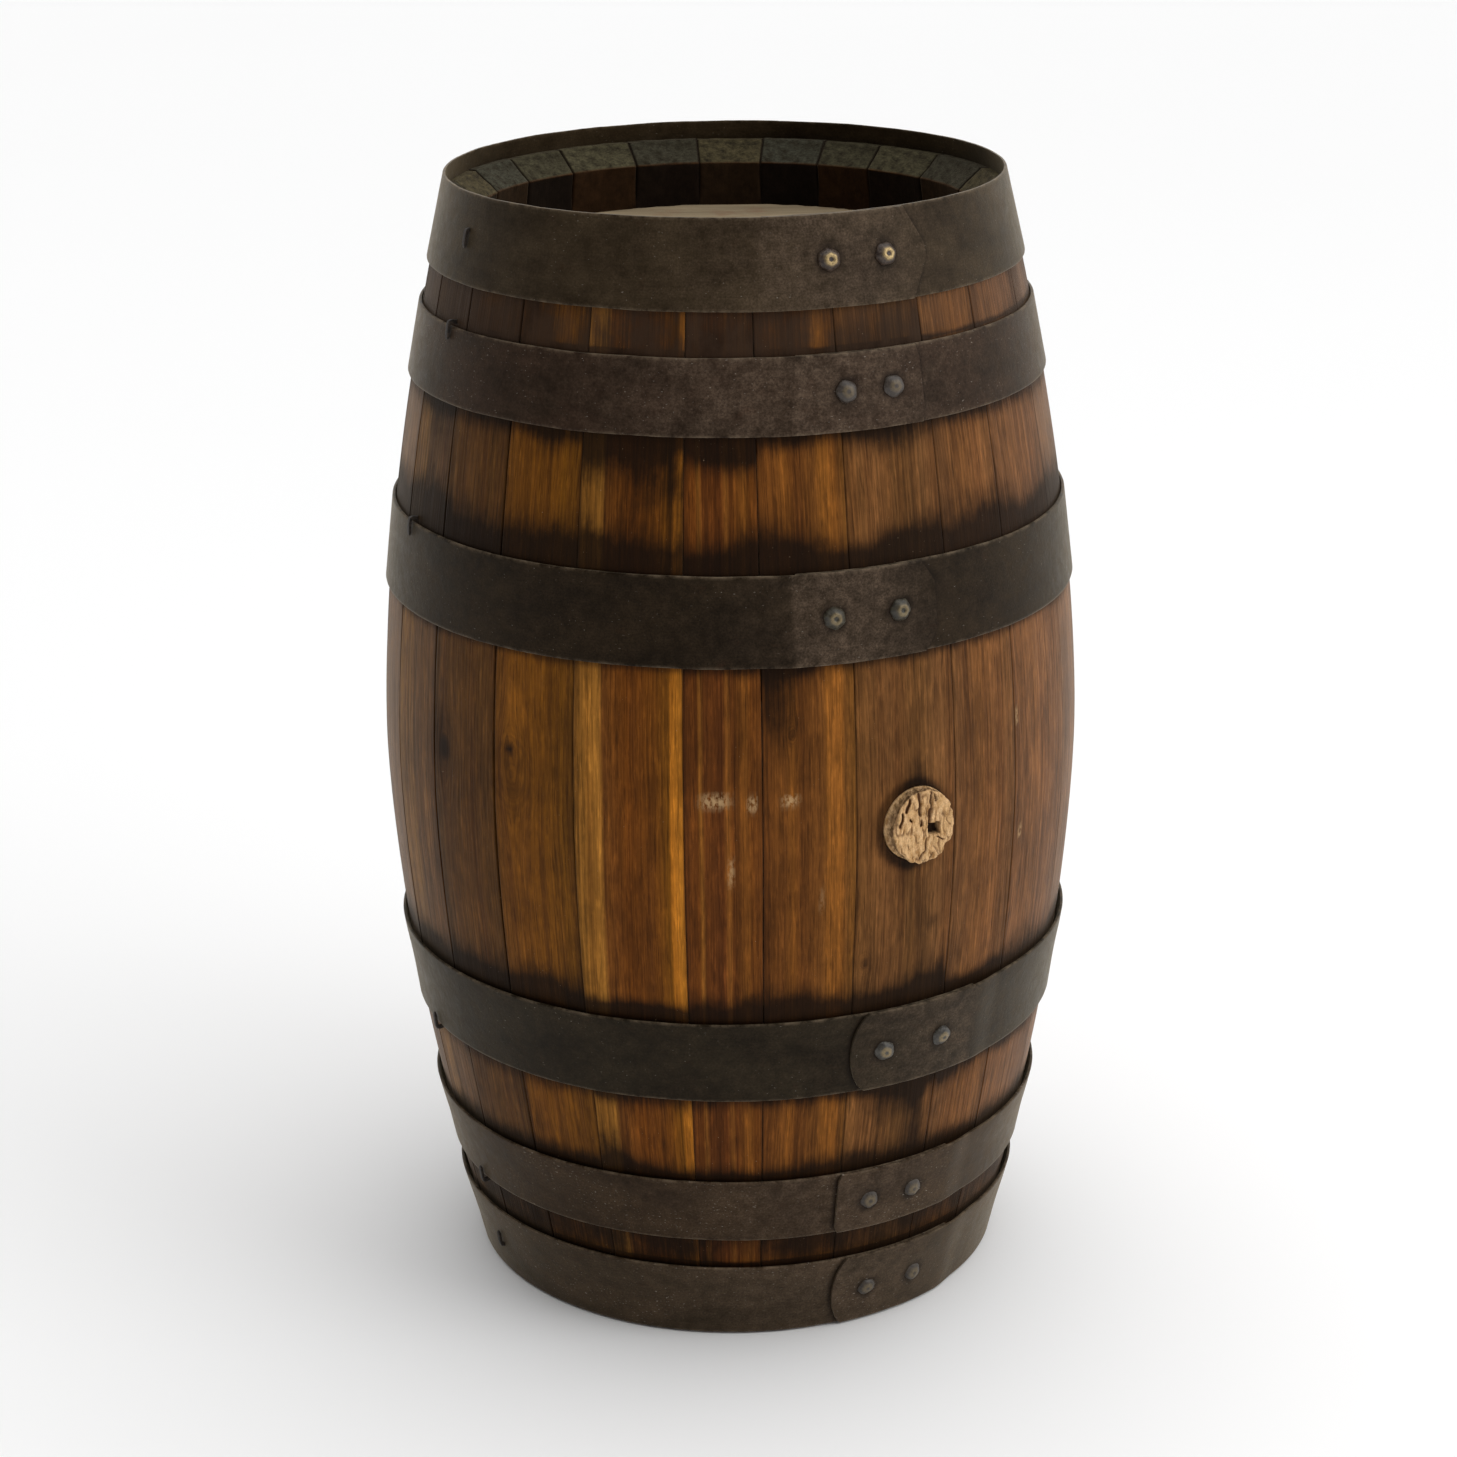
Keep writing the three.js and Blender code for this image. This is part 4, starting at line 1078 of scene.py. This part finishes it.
def build_rivet(name, order):
    kind = name[6:-2]
    azimuth, _ = middle(name)
    hoop = f"hoop_{kind}"
    low, high = (corner.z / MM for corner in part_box(hoop))
    z = (low + high) / 2
    rng = np.random.default_rng(700 + order)
    look = RIVETS[kind]
    form = RIVET_FORMS[look["form"]]
    turns = 40
    turn = np.linspace(0, 2 * math.pi, turns, endpoint=False)
    lift = hoop_cone(hoop)(z) - outer_radius(z) + HOOP_THICKNESS + LIFT
    profile = [(6.0, -1.2)] + form
    radius = np.array([r for r, _ in profile])[:, None] * np.ones(turns)
    out = np.array([h for _, h in profile])[:, None] * np.ones(turns)
    sides = 6 if look["form"] == "cone" else 5
    facet = 1 + 0.035 * np.cos(sides * turn + rng.uniform(0, 6)) + 0.02 * np.cos(2 * turn + rng.uniform(0, 6))
    local = np.stack([out, radius * facet * np.sin(turn), radius * facet * np.cos(turn)], -1)
    beaten = field(local + order * 20.0, 3.2, 41)
    local[..., 0] += np.where(out > 0.6, 0.28 * beaten, 0)
    lean = rng.uniform(-0.12, 0.12, 2)
    local[..., 0] += np.where(out > 0.6, local[..., 1] * lean[0] + local[..., 2] * lean[1], 0)
    local[..., 0] += lift
    rings = to_frame(skin_frame(azimuth, z), local)
    faces = turned_over(tube_faces(len(profile), turns))
    tip = np.clip((out - out.max() + 0.9) / 0.7, 0, 1) * (radius > 1.5)
    attributes = {"grain": (local + order * 13.0).reshape(-1, 3), "tip": tip.ravel()}
    material = rivet_shader(name[6:], look)
    return new_piece(f"head_of_{name}", rings, faces, material, [name], attributes, sharp=70)


# ---- Hoop nails ----


def nail_shader():
    shader = Shader("nail_iron")
    position = shader.attribute("grain")["Vector"]
    mottle = shader.speckle(position, (1.5,) * 3, 4.0, 0.65)
    colour = shader.mix(shader.remap(mottle, 0.35, 0.65), linear("#14100c"), linear("#3a2f26"))
    return shader.finish(colour, 0.6, shader.bump(mottle, 0.3), Specular_IOR_Level=0.35)


def build_nail(name, order, material):
    """A square nail driven beside or through the hoop, its end beaten flat over the steel."""
    points = node_points(name)
    azimuth, _ = middle(name)
    radius = np.hypot(points[:, 0], points[:, 1])
    inner_end = points[radius < radius.min() + 3]
    z = float(inner_end[:, 2].mean()) + float(outer_slope(inner_end[:, 2].mean())) * -15.0
    bend = 1 if points[:, 2].max() - z > z - points[:, 2].min() else -1
    rng = np.random.default_rng(900 + order)
    path = [(-15, 0.0), (-8, 0.0), (-1, 0.0), (2.2, 0.1), (3.3, 0.7), (3.8, 2.0), (3.75, 4.5), (3.6, 7.5),
            (3.4, 10.0), (3.2, 11.6)]
    size = [0.3, 1.0, 1.25, 1.3, 1.35, 1.35, 1.3, 1.3, 1.25, 0.7]
    corner_turn = np.radians([45, 90, 135, 180, 225, 270, 315, 360])
    corner_reach = np.array([1.25, 1, 1.25, 1, 1.25, 1, 1.25, 1])
    rings = []
    for k, ((out, up), half) in enumerate(zip(path, size)):
        before = np.array(path[max(k - 1, 0)])
        after = np.array(path[min(k + 1, len(path) - 1)])
        ahead = (after - before) / np.linalg.norm(after - before)
        across = np.array([-ahead[1], ahead[0]])
        wide = half * corner_reach * np.cos(corner_turn) * (1.25 if k > 4 else 1)
        thick = half * corner_reach * np.sin(corner_turn) * (0.8 if k > 4 else 1)
        side = wide + rng.uniform(-0.12, 0.12)
        rings.append(np.stack([out + thick * across[0], side, (up + thick * across[1]) * bend], -1))
    local = np.array(rings)
    local[..., 0] += 0.15 * field(local + order * 9, 2.0, 51)
    placed = to_frame(skin_frame(azimuth, z), local)
    faces = tube_faces(len(path), len(corner_turn))
    if bend > 0:
        faces = turned_over(faces)
    attributes = {"grain": (local + order * 7.0).reshape(-1, 3)}
    return new_piece(f"iron_{name}", placed, faces, material, [name], attributes, sharp=50)


# ---- Heads ----
HEAD_BEVEL = 12.0
HEAD_LAND = 7.0
BOARDS = 5  # in each head
TOP_HEAD_TURN = -30.0  # which way the joints run
BOTTOM_HEAD_TURN = 20.0


def head_shader(name, order):
    """Bare, dusty oak of a head board."""
    shader = Shader(f"head_oak_{name}")
    grain = shader.attribute("grain")["Vector"]
    position = shader.shift(grain, (0.0, order * 83.0, 0.0))
    broad = shader.speckle(position, (160, 8, 12), 4.0, 0.6)
    fine = shader.speckle(position, (60, 1.4, 2), 5.0, 0.65)
    dust = shader.speckle(position, (30, 25, 20), 5.0, 0.65)
    colour = shader.mix(shader.remap(broad, 0.35, 0.65), linear("#6e604a"), linear("#8f7f64"))
    colour = shader.vary(colour, fine, 0.3, 0.7, 0.7, 1.2)
    colour = shader.stain(colour, shader.remap(dust, 0.52, 0.72, 0.0, 0.6), "#6d4a34")
    relief = shader.bump(fine, 0.3)
    return shader.finish(colour, shader.remap(dust, 0.3, 0.7, 0.72, 0.88), relief, Specular_IOR_Level=0.2)


def head_rim(name):
    """Radius of the whole head that a board belongs to."""
    boards = [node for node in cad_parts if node[:8] == name[:8]]
    return max(float(np.hypot(*node_points(board)[:, :2].T).max()) for board in boards)


def board_edges(name, spin, face_z, full_rim):
    """Where a board starts and ends across the head, once its joints are turned along x."""
    flat = node_points(name) @ spin.T
    surface = np.abs(flat[:, 2] - face_z) < 0.2
    near, far = float(flat[surface, 1].min()), float(flat[surface, 1].max())
    number = int(name[-1])
    if number == 1:
        near = -full_rim + 1.5
    if number == BOARDS:
        far = full_rim - 1.5
    return number, near, far


def build_head_board(name, order):
    top = name.startswith("head_top")
    outside = 1 if top else -1
    turn = TOP_HEAD_TURN if top else BOTTOM_HEAD_TURN
    face_z = (STAVE_TOP - CHIME_DEPTH) if top else CHIME_DEPTH
    spin = np.array(Matrix.Rotation(math.radians(-turn), 3, "Z"))
    full_rim = head_rim(name)
    number, near, far = board_edges(name, spin, face_z, full_rim)
    close = np.array([0, 0.35, 0.9, 2.0])
    rows = np.concatenate([near + close, np.linspace(near + 5, far - 5, 12), far - close[::-1]])
    tips = np.array([0.965, 0.985, 0.995, 1])
    shares = np.concatenate([-tips[::-1], np.linspace(-0.94, 0.94, 60), tips])
    share, y = np.meshgrid(shares, rows, indexing="ij")
    reach = np.sqrt(np.maximum(full_rim**2 - y**2, 9.0))
    x = share * reach
    radius = np.hypot(x, y)
    slope = np.clip((radius - (full_rim - HEAD_LAND - HEAD_BEVEL)) / HEAD_BEVEL, 0, 1)
    edge = np.minimum(y - near, far - y)
    at_joint = (number > 1) * (y - near < 2) + (number < BOARDS) * (far - y < 2)
    arris = 0.7 * np.clip(1 - edge / 0.9, 0, 1) ** 2 * at_joint
    rng = np.random.default_rng(300 + order)
    tilt = rng.uniform(-0.35, 0.1) + rng.uniform(-0.3, 0.3) * (y - near) / max(far - near, 1)
    spread = np.stack([x, y, np.full_like(x, order * 20.0)], -1)
    grainy = 0.12 * field(spread * (0.08, 1, 1), 4, 61) + 0.2 * field(spread, 60, 62)
    front = -slope * 5.3 - arris - 0.4 + tilt + grainy
    back = -HEAD_THICKNESS + slope * 6.3 + 0.3
    z_front = face_z + outside * front
    z_back = face_z + outside * back
    rings = there_and_back(np.stack([x, y, z_front], -1), np.stack([x, y, z_back], -1))
    faces = strip_faces(*rings.shape[:2])
    if not top:
        faces = turned_over(faces)
    local = rings.reshape(-1, 3)
    placed = local @ spin
    attributes = {"grain": local + (0.0, 0.0, order * 11.0)}
    material = head_shader(name[5:], order)
    return new_piece(f"oak_{name}", placed, faces, material, [name], attributes)


# ---- Barrel ----
for order, name in enumerate(STAVES):
    stave = build_stave(name, order)
    if name == "stave_bung":
        cut_bung_hole(stave)
for order, name in enumerate(HOOPS):
    build_hoop(name, order)
for order, name in enumerate(sorted(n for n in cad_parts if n.startswith("rivet_"))):
    build_rivet(name, order)
iron = nail_shader()
for order, name in enumerate(sorted(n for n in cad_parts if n.startswith("hoop_nail_"))):
    build_nail(name, order, iron)
for order, name in enumerate(sorted(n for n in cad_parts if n.startswith("head_"))):
    build_head_board(name, order)
build_bung()

# ---- Floor, light and camera ----


def studio_floor():
    shader = Shader("pale_floor")
    spot = shader.node("ShaderNodeTexCoord", {}).outputs["Object"]
    cloud = shader.noise(shader.scale(spot, (0.4, 0.4, 0.4)), 3.0)
    colour = shader.mix(cloud, (0.92, 0.92, 0.92, 1), (0.94, 0.94, 0.94, 1))
    material = shader.finish(colour, 0.9, shader.bump(cloud, 0.1), Specular_IOR_Level=0.1)
    mesh = bpy.data.meshes.new("floor")
    reach = 40.0
    mesh.from_pydata([(-reach, -reach, 0), (reach, -reach, 0), (reach, reach, 0), (-reach, reach, 0)], [],
                     [(0, 1, 2, 3)])
    mesh.materials.append(material)
    floor = bpy.data.objects.new("floor", mesh)
    bpy.context.scene.collection.objects.link(floor)


def direction(azimuth, elevation):
    """Unit vector towards an azimuth, counted from the camera's side of the barrel."""
    turn, lift = math.radians(CAMERA_AZIMUTH + azimuth), math.radians(elevation)
    return Vector((math.sin(turn) * math.cos(lift), -math.cos(turn) * math.cos(lift), math.sin(lift)))


def soft_world():
    """Pale surroundings, brighter behind and beside the barrel than in front of it."""
    world = bpy.data.worlds.new("studio")
    bpy.context.scene.world = world
    world.use_nodes = True
    tree = world.node_tree
    spot = tree.nodes.new("ShaderNodeTexCoord")
    facing = tree.nodes.new("ShaderNodeVectorMath")
    facing.operation = "DOT_PRODUCT"
    tree.links.new(spot.outputs["Generated"], facing.inputs[0])
    facing.inputs[1].default_value = direction(DARK_SIDE, 0)
    ramp = tree.nodes.new("ShaderNodeMapRange")
    ramp.interpolation_type = "SMOOTHSTEP"
    for key, value in WORLD_RAMP.items():
        ramp.inputs[key].default_value = value
    tree.links.new(facing.outputs["Value"], ramp.inputs["Value"])
    background = tree.nodes["Background"]
    background.inputs["Color"].default_value = (1.0, 1.0, 1.0, 1)
    tree.links.new(ramp.outputs[0], background.inputs["Strength"])


def soft_light(name, azimuth, elevation, distance, size, power):
    data = bpy.data.lights.new(name, "AREA")
    data.shape = "DISK"
    data.size = size
    data.energy = power
    lamp = bpy.data.objects.new(name, data)
    target = Vector((0, 0, MID_HEIGHT * MM))
    lamp.location = target + direction(azimuth, elevation) * distance
    lamp.rotation_mode = "QUATERNION"
    lamp.rotation_quaternion = (-direction(azimuth, elevation)).to_track_quat("-Z", "Y")
    bpy.context.scene.collection.objects.link(lamp)


def overhead_glow(strength):
    """A wide, soft light from straight above, which keeps the floor pale."""
    data = bpy.data.lights.new("overhead", "SUN")
    data.energy = strength
    data.angle = math.radians(80)
    lamp = bpy.data.objects.new("overhead", data)
    bpy.context.scene.collection.objects.link(lamp)


def photo_camera():
    """The camera stands in front of the barrel's left quarter and looks down at it."""
    data = bpy.data.cameras.new("camera")
    data.sensor_width = 36.0
    data.lens = CAMERA_LENS
    camera = bpy.data.objects.new("camera", data)
    pitch, roll = math.radians(CAMERA_PITCH), math.radians(CAMERA_ROLL)
    turn = Matrix.Rotation(math.radians(CAMERA_AZIMUTH), 4, "Z")
    place = Matrix.Translation([part * MM for part in CAMERA_PLACE])
    look = Matrix.Rotation(math.radians(90) - pitch, 4, "X") @ Matrix.Rotation(roll, 4, "Z")
    camera.matrix_world = turn @ place @ look
    bpy.context.scene.collection.objects.link(camera)
    bpy.context.scene.camera = camera


studio_floor()
soft_world()
overhead_glow(OVERHEAD_STRENGTH)
soft_light("key", **KEY_LIGHT)
photo_camera()
bpy.context.scene.view_settings.view_transform = "Standard"
